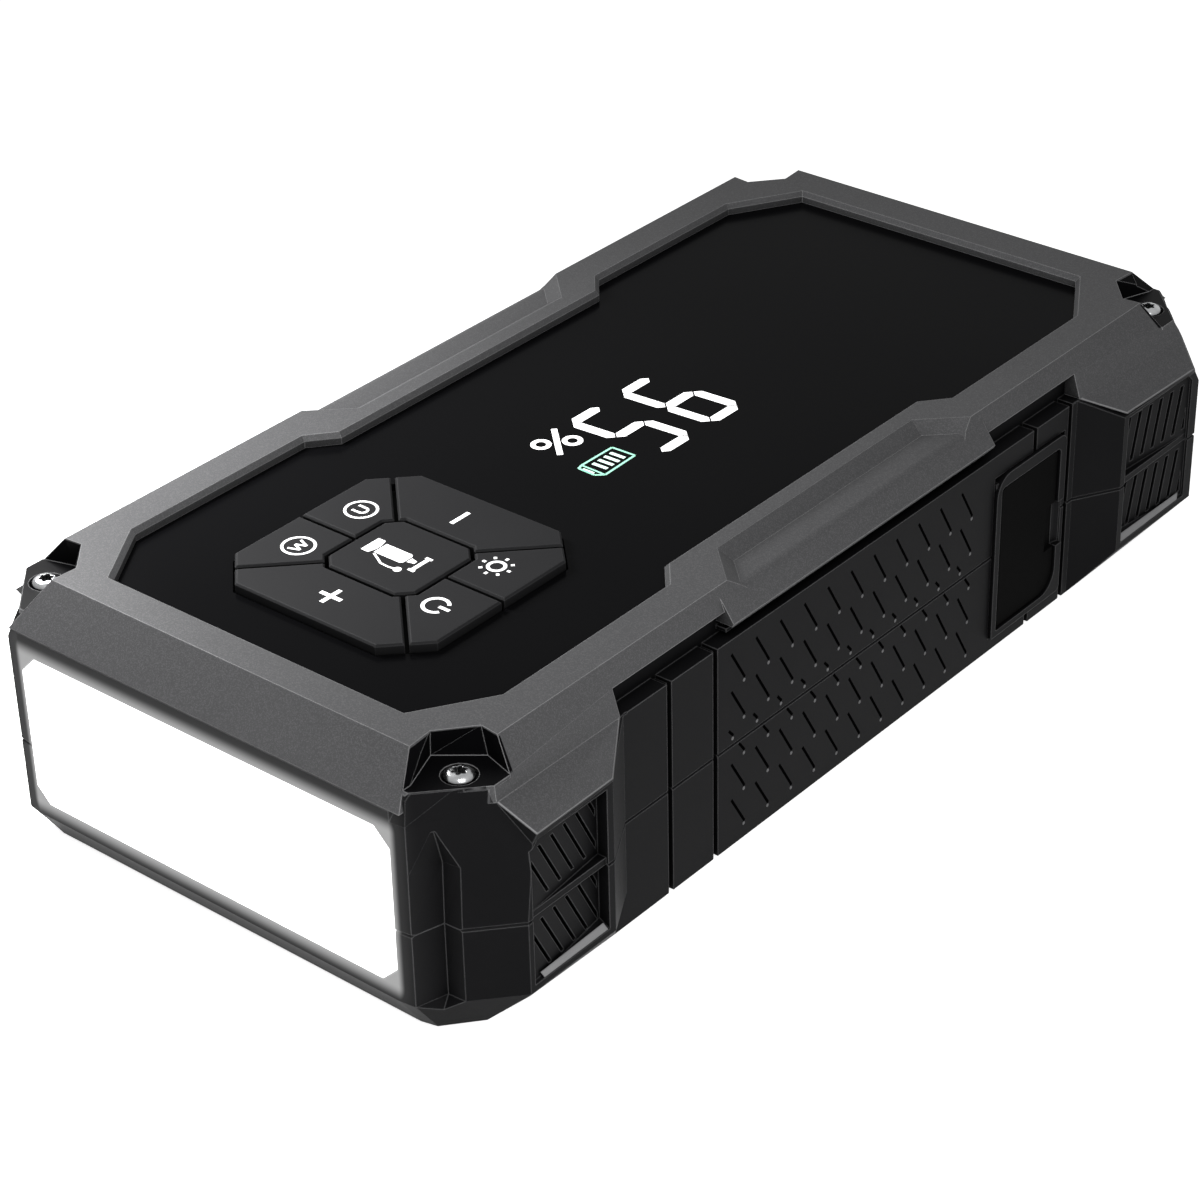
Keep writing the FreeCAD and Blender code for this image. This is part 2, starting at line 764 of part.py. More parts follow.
def past_band():
    # Everything beyond the sloping end of the frame
    out = BAND_Y + PAST_BAND_REACH
    above = RIM_Z + PAST_BAND_RISE
    section = [(BAND_Y, BAND_Z), (out, BAND_Z), (out, above), (RIM_Y, above), (RIM_Y, RIM_Z)]
    return prism_x(section, -FAR / 2.0, FAR / 2.0)


def crease_end(past):
    near = vec(WALL_X + CREASE_OUT, END_Y - POCKET_FRONT[1], RIM_Z - BROW_CREASE_DROP)
    return near + vec(*FAR_CREASE) * (past / FAR_PAST)


def along(start, end, y):
    # The point of a line at a place along the case
    return start + (end - start) * ((y - start.y) / (end.y - start.y))


def guard_cap(past):
    # Two sections across the frame, at the notch and past the corner pocket
    rear, _, _, side = flare_points(past)
    front = vec(WALL_X - POCKET_FRONT[0], END_Y - POCKET_FRONT[1], POCKET_Z)
    y1 = side.y + CAP_PAST
    edge = along(rear, side, y1)
    shoulder = along(vec(RIM_X + EAVES_OUT, NOTCH_Y, EAVES_Z), front, y1)
    near = [(FRAME_X, LEDGE_Z), (WALL_X, LEDGE_Z), (RIM_X + EAVES_OUT, EAVES_Z), (RIM_X, RIM_Z),
            (FRAME_X, RIM_Z)]
    far = [(FRAME_X, edge.z), (edge.x, edge.z), (shoulder.x, shoulder.z), (RIM_X, RIM_Z), (FRAME_X, RIM_Z)]
    cap = smooth_y([(NOTCH_Y, near), (y1, far)])
    return trim(cap, front, side, vec(*CREASE_TOP, POCKET_Z))


def flare_points(past):
    rear = vec(WALL_X, NOTCH_Y, LEDGE_Z)
    low = vec(*spot(BROW_REAR_IN, BROW_REAR_BACK), RIM_Z - BROW_REAR_DROP)
    tip = vec(*spot(BROW_TIP_IN, BROW_TIP_BACK), RIM_Z - BROW_TIP_DROP) + vec(*FAR_TIP) * (past / FAR_PAST)
    return rear, low, tip, crease_end(past)


def brow(past):
    # The flare over the vents, knife edged all round
    rear, low, tip, crease = flare_points(past)
    apex = vec(WALL_X - BROW_APEX_IN, GUARD_FRONT_Y - BROW_APEX_BACK, LEDGE_Z + BROW_APEX_RISE)
    faces = [[rear, low, tip], [rear, tip, crease], [rear, apex, low], [low, apex, tip],
             [tip, apex, crease], [crease, apex, rear]]
    return Part.Solid(Part.Shell([Part.Face(ring_wire(points)) for points in faces]))


def under_flare(shape, past):
    rear, low, tip, crease = flare_points(past)
    return trim(trim(shape, rear, low, tip), rear, tip, crease)


def over_flare(past):
    # The space over the flare as far as the crease of the frame
    room = box(RIM_X - FLARE_ROOM_IN, GUARD_X + FLARE_ROOM_OUT, BLEND_Y - OVER, crease_end(past).y,
               SPLIT_Z, RIM_Z)
    return room.cut(under_flare(room, past))


def flare_foot(past):
    # The black wall of the guard spreads out to meet the flare
    _, low, tip, crease = flare_points(past)
    inner = WALL_X - FLARE_ROOT_IN
    foot_z = GUARD_Z + FLARE_ROOT_RISE
    near = [(inner, foot_z), (GUARD_X, foot_z), (low.x, low.z), (inner, low.z + FLARE_ROOT_HIGH)]
    far = [(inner, GUARD_Z), (GUARD_X, GUARD_Z), (tip.x, tip.z), (inner, tip.z + FLARE_ROOT_HIGH)]
    wedge = under_flare(stack_y([(low.y, near), (tip.y, far), (tip.y + FLARE_ROOT_PAST, far)]), past)
    corner = toward(FRONT, FRONT_TOP, lean_share(GUARD_Z))
    return trim(wedge, vec(corner[0], corner[1] + past, GUARD_Z), crease, tip)


def eaves():
    section = [(FRAME_X, EAVES_Z), (RIM_X + EAVES_OUT, EAVES_Z), (RIM_X, RIM_Z), (FRAME_X, RIM_Z)]
    return prism_y(section, -NOTCH_Y, NOTCH_Y)


def rail():
    edge = WALL_X + RAIL_OUT
    lip = WALL_X - LIP_IN
    under = RIM_Z - RAIL_BOTTOM_DROP
    section = [(FRAME_X, EAVES_Z), (lip, EAVES_Z), (lip, under), (edge - RAIL_UNDERCUT, under),
               (edge, RIM_Z - RAIL_EDGE_DROP), (edge - RAIL_RUN, RIM_Z), (FRAME_X, RIM_Z)]
    return prism_y(section, -RAIL_Y, RAIL_Y)


def rail_scoop():
    # The step down along the rail, wider towards the side, with sloping ends
    inner = WALL_X - RAIL_INNER_IN
    y = RAIL_Y - RAIL_CORNER_BACK
    run = SCOOP_REACH * RAIL_CORNER_RUN
    foot_y = y - SCOOP_FOOT_BACK
    low = [(inner + RAIL_STEP, foot_y), (inner + RAIL_STEP + SCOOP_REACH, foot_y + run)]
    high = [(inner, y), (inner + SCOOP_REACH, y + run)]
    foot_ring = [(x, -y) for x, y in low] + low[::-1]
    top_ring = [(x, -y) for x, y in high] + high[::-1]
    return stack([(RIM_Z - RAIL_SCOOP, foot_ring), (RIM_Z + TOUCH, top_ring)])


def railed():
    block = rail().fuse(eaves()).cut(rail_scoop()).removeSplitter()
    shoulder = [e for e in block.Edges if is_shoulder(e, RIM_Z - RAIL_SCOOP)]
    return block.makeFillet(RAIL_SHOULDER, shoulder)


def is_shoulder(edge, z):
    middle = edge.CenterOfMass
    x_least = WALL_X - RAIL_INNER_IN + SHOULDER_PAST
    return edge.Length > RAIL_Y and abs(middle.z - z) < TOUCH and middle.x > x_least


def frame_slab():
    plan = [(-FRAME_X - OVER, FRAME_END - RIM_Y), (FRAME_X + OVER, FRAME_END - RIM_Y),
            (FRAME_X + OVER, RIM_Y - FRAME_END), (-FRAME_X - OVER, RIM_Y - FRAME_END)]
    return prism(plan, EAVES_Z, RIM_Z)


def frame_outside():
    parts = [frame_slab()]
    parts += both_ends(end_band())
    parts += both_sides(railed())
    parts += each_end(guard_cap)
    parts += each_end(brow)
    whole = parts[0].fuse(parts[1:])
    whole = whole.cut(four_corners(pocket_tool()))
    whole = whole.cut(four_corners(pillar_core()))
    plates = [plate.cut(both_ends(past_band())) for plate in four_corners(pocket_plate())]
    return whole.fuse(plates).removeSplitter()


def window_outline(outward=0.0):
    near = END_Y - WINDOW_NEAR_BACK
    far = END_Y - WINDOW_FAR_BACK
    half = [(WALL_X - WINDOW_CORNER_IN, -near), (WALL_X - WINDOW_IN, WINDOW_NEAR_CORNER - near),
            (WALL_X - WINDOW_IN, -RAIL_Y - WAIST_PAST), (WALL_X - WAIST_IN, WAIST_SHORT - RAIL_Y),
            (WALL_X - WAIST_IN, RAIL_Y - WAIST_FAR_SHORT), (WALL_X - WINDOW_IN, RAIL_Y + WAIST_FAR_PAST),
            (WALL_X - WINDOW_IN, far - WINDOW_FAR_CORNER), (WALL_X - WINDOW_CORNER_IN, far)]
    outline = half + [(-x, y) for x, y in half[::-1]]
    return inset(outline, -outward)


def top_frame(outside):
    bevel = stack([(RIM_Z - WINDOW_BEVEL_DROP, window_outline()),
                   (RIM_Z + TOUCH, window_outline(WINDOW_BEVEL))])
    window = prism(window_outline(), LEDGE_Z - WINDOW_CUT_BELOW, RIM_Z)
    seat = prism(window_outline(PANEL_LAP + PANEL_FIT), LEDGE_Z - WINDOW_CUT_BELOW, PANEL_Z)
    frame = outside.cut([bevel, window, seat])
    holes = []
    for x, y in screw_places():
        holes.append(head_hole(x, y, POCKET_Z - COUNTERBORE_DEPTH, RIM_Z))
        holes.append(shank_hole(x, y, SPLIT_Z, RIM_Z))
    return frame.cut(holes).removeSplitter()


def four_places(inward, back):
    x, y = spot(inward, back)
    return [(i * x, j * y) for i in (-1, 1) for j in (-1, 1)]


def screw_places():
    return four_places(SCREW_IN, SCREW_BACK)


def case_screw_places():
    return four_places(CASE_SCREW_IN, CASE_SCREW_BACK)


def head_hole(x, y, z0, z1):
    return prism(many_sided(COUNTERBORE, 2 * SCREW_SIDES, x, y), z0, z1)


def shank_hole(x, y, z0, z1):
    return prism(many_sided(SCREW_RADIUS, SCREW_SIDES, x, y), z0, z1)


def foot_places():
    return four_places(FOOT_IN, FOOT_BACK)


def lens_outline(shrink=0.0):
    half = FACE[0] - shrink
    z0 = LENS_Z0 + shrink
    z1 = LENS_Z1 - shrink
    corner = LENS_CORNER - LENS_CORNER_SHARE * shrink
    right = [(half - corner, z0), (half, z0 + corner), (half, z1 - corner), (half - corner, z1)]
    return right + [(-x, z) for x, z in right[::-1]]


def end_openings():
    seat = prism_y(lens_outline(LENS_SHY - LENS_FIT), -END_Y - OVER, -LENS_BACK)
    throat = prism_y(lens_outline(TRAY_STEP), -END_Y - OVER, -END_Y + THROAT_DEPTH)
    return both_ends(seat) + both_ends(throat)


def groove_places():
    return [side * (NOTCH_Y - shift) for side, shift in GROOVE_SHIFTS]


def grooves():
    tools = []
    half = GROOVE_WIDTH / 2.0
    for y in groove_places():
        upright = box(WALL_X - GROOVE_DEPTH, WALL_X + GROOVE_OUT, y - half, y + half, 0.0, EAVES_Z)
        across = box(WALL_X - LIP_IN, WALL_X + GROOVE_OUT, y - half, y + half,
                     LEDGE_Z - GROOVE_LEDGE_DROP, EAVES_Z)
        tools += both_sides(upright.fuse(across))
    return tools


def lip_line():
    # The thin black line in the shadow gap under the rail
    x0 = WALL_X - LIP_IN - OVER
    z0 = RIM_Z - LIP_LINE_DROP
    return box(x0, WALL_X - LIP_LINE_IN, -RAIL_Y, RAIL_Y, z0, z0 + LIP_LINE_THICK)


def vent_pocket(z0, z1, y1):
    # Shallow at the front edge and deep at the rear, with a sloping sill
    deep = GUARD_X - VENT_DEPTH
    out = GUARD_X + VENT_OUT
    plan = [(deep, VENT_Y0), (out, VENT_Y0), (out, y1), (GUARD_X - VENT_SHALLOW, y1)]
    corner = VENT_CORNER
    front = [(VENT_Y0, z0), (y1, z0), (y1, z1 - corner), (y1 - corner, z1), (VENT_Y0, z1)]
    sill = [(deep - OVER, z0 + VENT_SLOPE * VENT_SILL_SHARE), (GUARD_X, z0), (GUARD_X, z0 - OVER),
            (deep - OVER, z0 - OVER)]
    return prism(plan, z0, z1).common(prism_x(front, 0.0, FAR)).cut(prism_y(sill, 0.0, FAR))


def vent_slots(z0, z1, y1, slant, width):
    low = z0 + SLOT_CLEAR
    slots = []
    for bank in (low, SPLIT_Z + SLOT_CLEAR + VENT_BAR):
        for i in range(SLOT_COUNT):
            y = y1 - SLOT_PITCH * (i - SLOT_START)
            run = slant * SLOT_RISE
            top = bank + SLOT_RISE
            points = [(y, top), (y - run, bank), (y - run + width, bank), (y + width, top)]
            slots.append(prism_x(points, GUARD_X - VENT_DEPTH - SLOT_DEPTH, GUARD_X))
    margin = width / 2.0 + SLOT_MARGIN
    room = box(0.0, FAR, VENT_Y0 + margin, y1 - margin, z0, z1 - margin)
    return [slot.common(room) for slot in slots]


def vent_tools():
    tools = []
    for past, slant, width in ((0.0, FRONT_SLANT, FRONT_SLOT), (FAR_PAST, REAR_SLANT, REAR_SLOT)):
        y1 = VENT_Y1 + past * VENT_SHARE
        bar = box(0.0, GUARD_X - VENT_BAR_PROUD, VENT_Y0 - OVER, y1 + OVER, SPLIT_Z, SPLIT_Z + VENT_BAR)
        pocket = vent_pocket(VENT_Z0, VENT_Z1, y1).cut(bar)
        for piece in [pocket] + vent_slots(VENT_Z0, VENT_Z1, y1, slant, width):
            if piece.Volume > TOUCH:
                tools += both_sides(piece if past > 0.0 else mirrored(piece, vec(0, 1, 0)))
    return tools


def port_hole():
    fit = PORT_FIT
    wide = box(WALL_X - FLANGE_SINK - fit, FAR, PORT_Y0 - BAND_LEFT - fit, PORT_Y1 + BAND_RIGHT + fit,
               PORT_Z0 - BAND_BOTTOM - fit, PORT_Z1 + BAND_TOP + fit)
    reach = SLEEVE_WALL + PORT_FIT
    deep = box(SLEEVE_X - SOCKET_PLATE - OVER, FAR, PORT_Y0 - reach, PORT_Y1 + reach, PORT_Z0 - reach,
               PORT_Z1 + reach)
    return wide.fuse(deep)


def inside_plan():
    return octagon(WALL_WIDTH - 2 * WALL, 2 * (END_Y - END_WALL), INSIDE_CORNER)


def bottom_case():
    case = lower_outside().cut(prism(inside_plan(), INSIDE_Z, SPLIT_Z + OVER))
    tools = end_openings() + grooves() + vent_tools() + four_corners(flute()) + [port_hole()]
    for x, y in foot_places():
        tools.append(prism(many_sided(FOOT_RADIUS, 2 * SCREW_SIDES, x, y), 0.0, FLOOR_Z + FOOT_SINK))
    for x, y in case_screw_places():
        tools.append(head_hole(x, y, 0.0, FLOOR_Z + CASE_SCREW_SUNK))
        tools.append(shank_hole(x, y, 0.0, SPLIT_Z + OVER))
    return case.cut(tools).removeSplitter()


def middle_case(frame):
    lower = prism(inside_plan(), SPLIT_Z - OVER, LEDGE_Z - LEDGE_THICK)
    neck_plan = octagon(2 * (WALL_X - NECK_WALL), 2 * (END_Y - NECK_END), NECK_CORNER)
    neck = prism(neck_plan, SPLIT_Z - OVER, RIM_Z)
    case = upper_outside().cut(both_ends(past_band()) + each_end(over_flare))
    case = case.fuse(each_end(flare_foot))
    lip = WALL_X - LIP_IN
    case = case.cut(both_sides(box(lip, FAR, -NOTCH_Y, NOTCH_Y, LEDGE_Z, RIM_Z)))
    corner = box(BAND_X, FAR, RIM_Y, FAR, POCKET_Z, RIM_Z)
    case = case.fuse(both_sides(lip_line()))
    case = case.cut([lower, neck, frame] + four_corners(pocket_tool()) + four_corners(corner))
    tools = end_openings() + grooves() + vent_tools() + four_corners(flute()) + [port_hole()]
    for x, y in screw_places():
        seat = POCKET_Z - COUNTERBORE_DEPTH
        tools.append(shank_hole(x, y, seat - SCREW_LENGTH - SCREW_END_ROOM, RIM_Z))
        tools.append(head_hole(x, y, seat, RIM_Z))
    for x, y in case_screw_places():
        top = FLOOR_Z + CASE_SCREW_SUNK + SCREW_LENGTH + SCREW_END_ROOM
        tools.append(shank_hole(x, y, SPLIT_Z - OVER, top))
    return case.cut(tools).removeSplitter()


def display_panel():
    plate = prism(window_outline(PANEL_LAP), PANEL_UNDER, PANEL_Z)
    gap = 2 * KEYPAD_FIT
    hole = octagon(KEYPAD_WIDTH + gap, KEYPAD_LENGTH + gap, KEYPAD_CORNER, KEYPAD_Y)
    return plate.cut(prism(hole, PANEL_UNDER, PANEL_Z))


def key_solids():
    pad = prism(octagon(KEYPAD_WIDTH, KEYPAD_LENGTH, KEYPAD_CORNER), KEY_FOOT, KEY_TOP)
    room = 2 * KEY_GAP
    hub_hole = octagon(HUB_WIDTH + room, HUB_LENGTH + room, HUB_CORNER + HUB_HOLE_CORNER)
    half = KEY_GAP / 2.0
    strip = box(-FAR, FAR, -half, half, KEY_FOOT, KEY_TOP)
    sides = box(-KEYPAD_WIDTH, KEYPAD_WIDTH, -half, half, KEY_FOOT, KEY_TOP)
    keys = pad.cut([prism(hub_hole, KEY_FOOT, KEY_TOP), turned(strip, 45.0), turned(strip, -45.0), sides])
    hub = prism(octagon(HUB_WIDTH, HUB_LENGTH, HUB_CORNER), KEY_FOOT, KEY_TOP)
    return keys.Solids + [hub]


def turned(shape, degrees):
    copy = shape.copy()
    copy.rotate(vec(0, 0, 0), vec(0, 0, 1), degrees)
    return copy


def key_centres():
    out = (KEYPAD_WIDTH + HUB_WIDTH) / 4.0
    ahead = (KEYPAD_LENGTH + HUB_LENGTH) / 4.0
    across = KEYPAD_LENGTH / 6.0
    return {"key_pump": (0.0, 0.0), "key_plus": (0.0, -ahead), "key_minus": (0.0, ahead),
            "key_mode_a": (-out, across), "key_mode_b": (-out, -across),
            "key_light": (out, across), "key_power": (out, -across)}


def key(name):
    x, y = key_centres()[name]
    solids = key_solids()
    cap = min(solids, key=lambda s: math.hypot(s.CenterOfMass.x - x, s.CenterOfMass.y - y))
    rim = [e for e in cap.Edges if all(v.Z > KEY_TOP - 0.01 for v in e.Vertexes)]
    cap = cap.makeChamfer(KEY_BEVEL, rim)
    stem = prism(many_sided(STEM_RADIUS, LEAD_SIDES, x, y), SWITCH_Z + KEY_TRAVEL + DOME_FIT, KEY_FOOT)
    return moved(cap.fuse(stem), 0.0, KEYPAD_Y)


def moved(shape, x, y, z=0.0):
    copy = shape.copy()
    copy.translate(vec(x, y, z))
    return copy


def pad_flange():
    return octagon(KEYPAD_WIDTH + 2 * FLANGE_LAP, KEYPAD_LENGTH + 2 * FLANGE_LAP, KEYPAD_CORNER + 1.0)


def keypad_base():
    plug = prism(octagon(KEYPAD_WIDTH, KEYPAD_LENGTH, KEYPAD_CORNER), PANEL_UNDER, BASE_Z)
    base = plug.fuse(prism(pad_flange(), SWITCH_Z, PANEL_UNDER))
    holes = []
    for x, y in key_centres().values():
        holes.append(prism(many_sided(STEM_RADIUS + STEM_FIT, LEAD_SIDES, x, y), SWITCH_Z, BASE_Z))
    return moved(base.cut(holes).removeSplitter(), 0.0, KEYPAD_Y)


def switch_board():
    top = SWITCH_Z - DOME_HEIGHT
    return moved(prism(pad_flange(), top - BOARD_THICK, top), 0.0, KEYPAD_Y)


def switch_domes():
    domes = []
    for x, y in key_centres().values():
        ring = many_sided(DOME_RADIUS, LEAD_SIDES, x, y + KEYPAD_Y)
        crown = many_sided(DOME_RADIUS / 2.0, LEAD_SIDES, x, y + KEYPAD_Y)
        domes.append(stack([(SWITCH_Z - DOME_HEIGHT, ring), (SWITCH_Z, crown)]))
    return domes


def display_module():
    half_x = DISPLAY_WIDTH / 2.0
    half_y = DISPLAY_LENGTH / 2.0
    return box(-half_x, half_x, -half_y, half_y, PANEL_UNDER - DISPLAY_THICK, PANEL_UNDER)


def lamp_lens():
    slab = prism_y(lens_outline(LENS_SHY), -LENS_Y, -LENS_BACK)
    front = [e for e in slab.Edges if all(abs(v.Y + LENS_Y) < TOUCH for v in e.Vertexes)]
    return slab.makeChamfer(LENS_PROUD, front)


def lamp_tray():
    outer = prism_y(lens_outline(TRAY_STEP + LENS_FIT), -LENS_BACK, -LENS_BACK + TRAY_DEPTH)
    mouth = lens_outline(TRAY_STEP + TRAY_WALL)
    floor = lens_outline(TRAY_STEP + 2.5 * TRAY_WALL)
    hollow = stack_y([(-LENS_BACK - TOUCH, mouth), (-LENS_BACK + TRAY_DEPTH - TRAY_WALL, floor)])
    return outer.cut(hollow)


def lamp_leds():
    leds = []
    back = -LENS_BACK + TRAY_DEPTH - TRAY_WALL
    half = LED_SIZE / 2.0
    pitch = 2 * (FACE[0] - LED_MARGIN) / LED_COLUMNS
    for row in range(LED_ROWS):
        z = (LENS_Z0 + LENS_Z1) / 2.0 + (row - 0.5) * LED_RISE
        for column in range(LED_COLUMNS):
            x = (column - (LED_COLUMNS - 1) / 2.0) * pitch
            leds.append(box(x - half, x + half, back - LED_HEIGHT, back, z - half, z + half))
    return leds


def lamp_board():
    back = -LENS_BACK + TRAY_DEPTH
    half = WALL_X - LAMP_BOARD_IN
    z0 = LENS_Z0 + LAMP_BOARD_MARGIN
    return box(-half, half, back, back + BOARD_THICK, z0, LENS_Z1 - LAMP_BOARD_MARGIN)


def end_panel():
    slab = prism_y(lens_outline(LENS_SHY), LENS_BACK, END_Y)
    holes = [tube_y(OUTLET_RADIUS + USB_GAP, ROUND_SIDES, LENS_BACK - OVER, END_Y + OVER)]
    holes.append(usb_block(USB_A_X, USB_A_WIDTH, USB_A_HEIGHT, USB_A_CORNER, USB_GAP))
    holes.append(usb_block(USB_C_X, USB_C_WIDTH, USB_C_HEIGHT, USB_C_CORNER, USB_GAP))
    return slab.cut(holes)


def usb_block(x, width, height, corner, room):
    half_x = width / 2.0 + room
    half_z = height / 2.0 + room
    y1 = END_Y - USB_SUNK + room
    block = box(x - half_x, x + half_x, y1 - USB_DEPTH, y1, USB_Z - half_z, USB_Z + half_z)
    return block.makeChamfer(corner + room / 2.0, [e for e in block.Edges if runs_along_y(e)])


def runs_along_y(edge):
    return abs(edge.Vertexes[0].Y - edge.Vertexes[-1].Y) > TOUCH


def usb_port(x, width, height, corner, tongue):
    shell = usb_block(x, width, height, corner, 0.0)
    y1 = END_Y - USB_SUNK
    hollow = moved(usb_block(x, width, height, corner, -USB_SHELL), 0.0, USB_SHELL + TOUCH)
    half = width / 2.0 - TONGUE_IN
    z0 = USB_Z - tongue / 2.0
    blade = box(x - half, x + half, y1 - USB_DEPTH, y1 - TONGUE_SUNK, z0, z0 + tongue)
    return shell.cut(hollow).fuse(blade).removeSplitter()


def finger_notch():
    x = FLANGE_X + NOTCH_RADIUS - NOTCH_BITE
    return prism(many_sided(NOTCH_RADIUS, ROUND_SIDES, x, PORT_Y1 - NOTCH_EDGE), NOTCH_Z0, NOTCH_Z1)


def port_frame():
    y0 = PORT_Y0 - BAND_LEFT
    y1 = PORT_Y1 + BAND_RIGHT
    z0 = PORT_Z0 - BAND_BOTTOM
    z1 = PORT_Z1 + BAND_TOP
    flange = rounded(y0, y1, z0, z1, BAND_CORNERS, WALL_X - FLANGE_SINK, FLANGE_X)
    reach = SLEEVE_WALL
    sleeve = box(SLEEVE_X, WALL_X, PORT_Y0 - reach, PORT_Y1 + reach, PORT_Z0 - reach, PORT_Z1 + reach)
    opening = rounded(PORT_Y0, PORT_Y1, PORT_Z0, PORT_Z1, PORT_CORNERS, SLEEVE_X - OVER, FLANGE_X + OVER)
    past = PIN_LENGTH + PIN_END_FIT
    pins = rod_z(PIN_RADIUS + PIN_FIT, PORT_Z0 - past, PORT_Z1 + past, PIVOT_X, PIVOT_Y)
    return flange.fuse(sleeve).cut([opening, pins, finger_notch()]).removeSplitter()


def port_flap():
    gap = FLAP_GAP
    top = PORT_Z1 - FLAP_TOP_GAP
    slab = rounded(PORT_Y0 + gap, PORT_Y1 - gap, PORT_Z0 + gap, top, FLAP_CORNERS, FLAP_X0, FLAP_X1)
    edge_zone = box(FLAP_X0 - OVER, FLAP_X1 + OVER, PORT_Y0, PIVOT_Y, 0.0, RIM_Z)
    barrel = rod_z(FLAP_THICK / 2.0, 0.0, RIM_Z, PIVOT_X, PIVOT_Y)
    slab = slab.cut(edge_zone.cut(barrel))
    pin = rod_z(PIN_RADIUS, PORT_Z0 - PIN_LENGTH, PORT_Z1 + PIN_LENGTH, PIVOT_X, PIVOT_Y)
    return slab.fuse(pin).cut(finger_notch()).removeSplitter()


def jump_socket():
    sill = SLEEVE_WALL - PORT_FIT
    x0 = SLEEVE_X - SOCKET_PLATE
    plate = box(x0, SLEEVE_X, PORT_Y0 - sill, PORT_Y1 + sill, PORT_Z0 - sill, PORT_Z1 + sill)
    half = SOCKET_WIDTH / 2.0
    tall = SOCKET_HEIGHT / 2.0
    body = box(SOCKET_X - SOCKET_DEPTH, SOCKET_X, PORT_Y - half, PORT_Y + half, PORT_Z - tall, PORT_Z + tall)
    corners = [e for e in body.Edges if at_corner(e, PORT_Y + half, PORT_Z + tall)]
    corners += [e for e in body.Edges if at_corner(e, PORT_Y - half, PORT_Z + tall)]
    body = body.makeChamfer(SOCKET_KEY, corners).fuse(plate)
    bores = []
    for z in contact_heights():
        bore = many_sided(CONTACT_RADIUS, CONTACT_SIDES, PORT_Y, z)
        bores.append(prism_x(bore, SOCKET_X - CONTACT_LENGTH - CONTACT_SUNK, SOCKET_X))
    return body.cut(bores).removeSplitter()


def contact_heights():
    return [PORT_Z - CONTACT_PITCH / 2.0, PORT_Z + CONTACT_PITCH / 2.0]


def socket_contacts():
    contacts = []
    back = SOCKET_X - CONTACT_LENGTH - CONTACT_SUNK
    for z in contact_heights():
        sleeve = prism_x(many_sided(CONTACT_RADIUS, CONTACT_SIDES, PORT_Y, z), back, SOCKET_X - CONTACT_SUNK)
        bore = many_sided(CONTACT_BORE, CONTACT_SIDES, PORT_Y, z)
        contacts.append(sleeve.cut(prism_x(bore, back + CONTACT_FLOOR, SOCKET_X)))
    return contacts


def battery_cells():
    cells = []
    half = CELL_WIDTH / 2.0
    for i in range(CELL_COUNT):
        z = INSIDE_Z + TRAY_THICK + i * (CELL_THICK + CELL_GAP)
        cell = box(-half, half, BATTERY_Y0, BATTERY_Y1, z, z + CELL_THICK)
        cells.append(cell.makeChamfer(CELL_CHAMFER, [e for e in cell.Edges if runs_along_y(e)]))
    return cells


def battery_tray():
    half = CELL_WIDTH / 2.0 + TRAY_FIT
    wall = TRAY_THICK
    y0 = BATTERY_Y0 - TRAY_FIT
    y1 = BATTERY_Y1 + TRAY_FIT
    outer = box(-half - wall, half + wall, y0 - wall, y1 + wall, INSIDE_Z, INSIDE_Z + TRAY_HEIGHT)
    tray = outer.cut(box(-half, half, y0, y1, INSIDE_Z + wall, RIM_Z))
    posts = []
    for x, y in post_places():
        posts.append(prism(many_sided(POST_RADIUS, LEAD_SIDES, x, y), INSIDE_Z, MAIN_Z))
    return tray.fuse(posts).removeSplitter()


def post_places():
    x = CELL_WIDTH / 2.0 + TRAY_THICK + POST_SHIFT
    y = CELL_LENGTH / 2.0 + TRAY_FIT - POST_BACK
    return [(i * x, BATTERY_Y + j * y) for i in (-1, 1) for j in (-1, 1)]


def battery_straps():
    z = INSIDE_Z + TRAY_THICK + CELL_COUNT * (CELL_THICK + CELL_GAP) - CELL_GAP
    half = CELL_WIDTH / 2.0
    straps = []
    for y in (BATTERY_Y - STRAP_SHIFT, BATTERY_Y + STRAP_SHIFT):
        straps.append(box(-half, half, y - STRAP_WIDTH / 2.0, y + STRAP_WIDTH / 2.0, z, z + STRAP_THICK))
    return straps


def main_board():
    return prism(octagon(MAIN_WIDTH, MAIN_LENGTH, MAIN_CORNER, BATTERY_Y), MAIN_Z, MAIN_Z + BOARD_THICK)


def board_heatsink():
    x0 = SINK_MARGIN - MAIN_WIDTH / 2.0
    y1 = BATTERY_Y + MAIN_LENGTH / 2.0 - SINK_MARGIN
    y0 = y1 - SINK_LENGTH
    z0 = MAIN_Z + BOARD_THICK
    pitch = (SINK_WIDTH - SINK_FIN) / (SINK_FINS - 1)
    fins = []
    for i in range(SINK_FINS):
        fins.append(box(x0 + i * pitch, x0 + i * pitch + SINK_FIN, y0, y1, z0, z0 + SINK_HEIGHT))
    return box(x0, x0 + SINK_WIDTH, y0, y1, z0, z0 + SINK_FIN).fuse(fins).removeSplitter()


def lead_ring(point, tangent, stretch):
    # Section of a lead, square to its run, stretched sideways where two runs meet
    side = tangent.cross(vec(0, 0, 1)).normalize()
    rise = side.cross(tangent)
    points = []
    for a, b in many_sided(LEAD_RADIUS, LEAD_SIDES, 0.0, 0.0):
        points.append(point + side * (a * stretch) + rise * b)
    return points


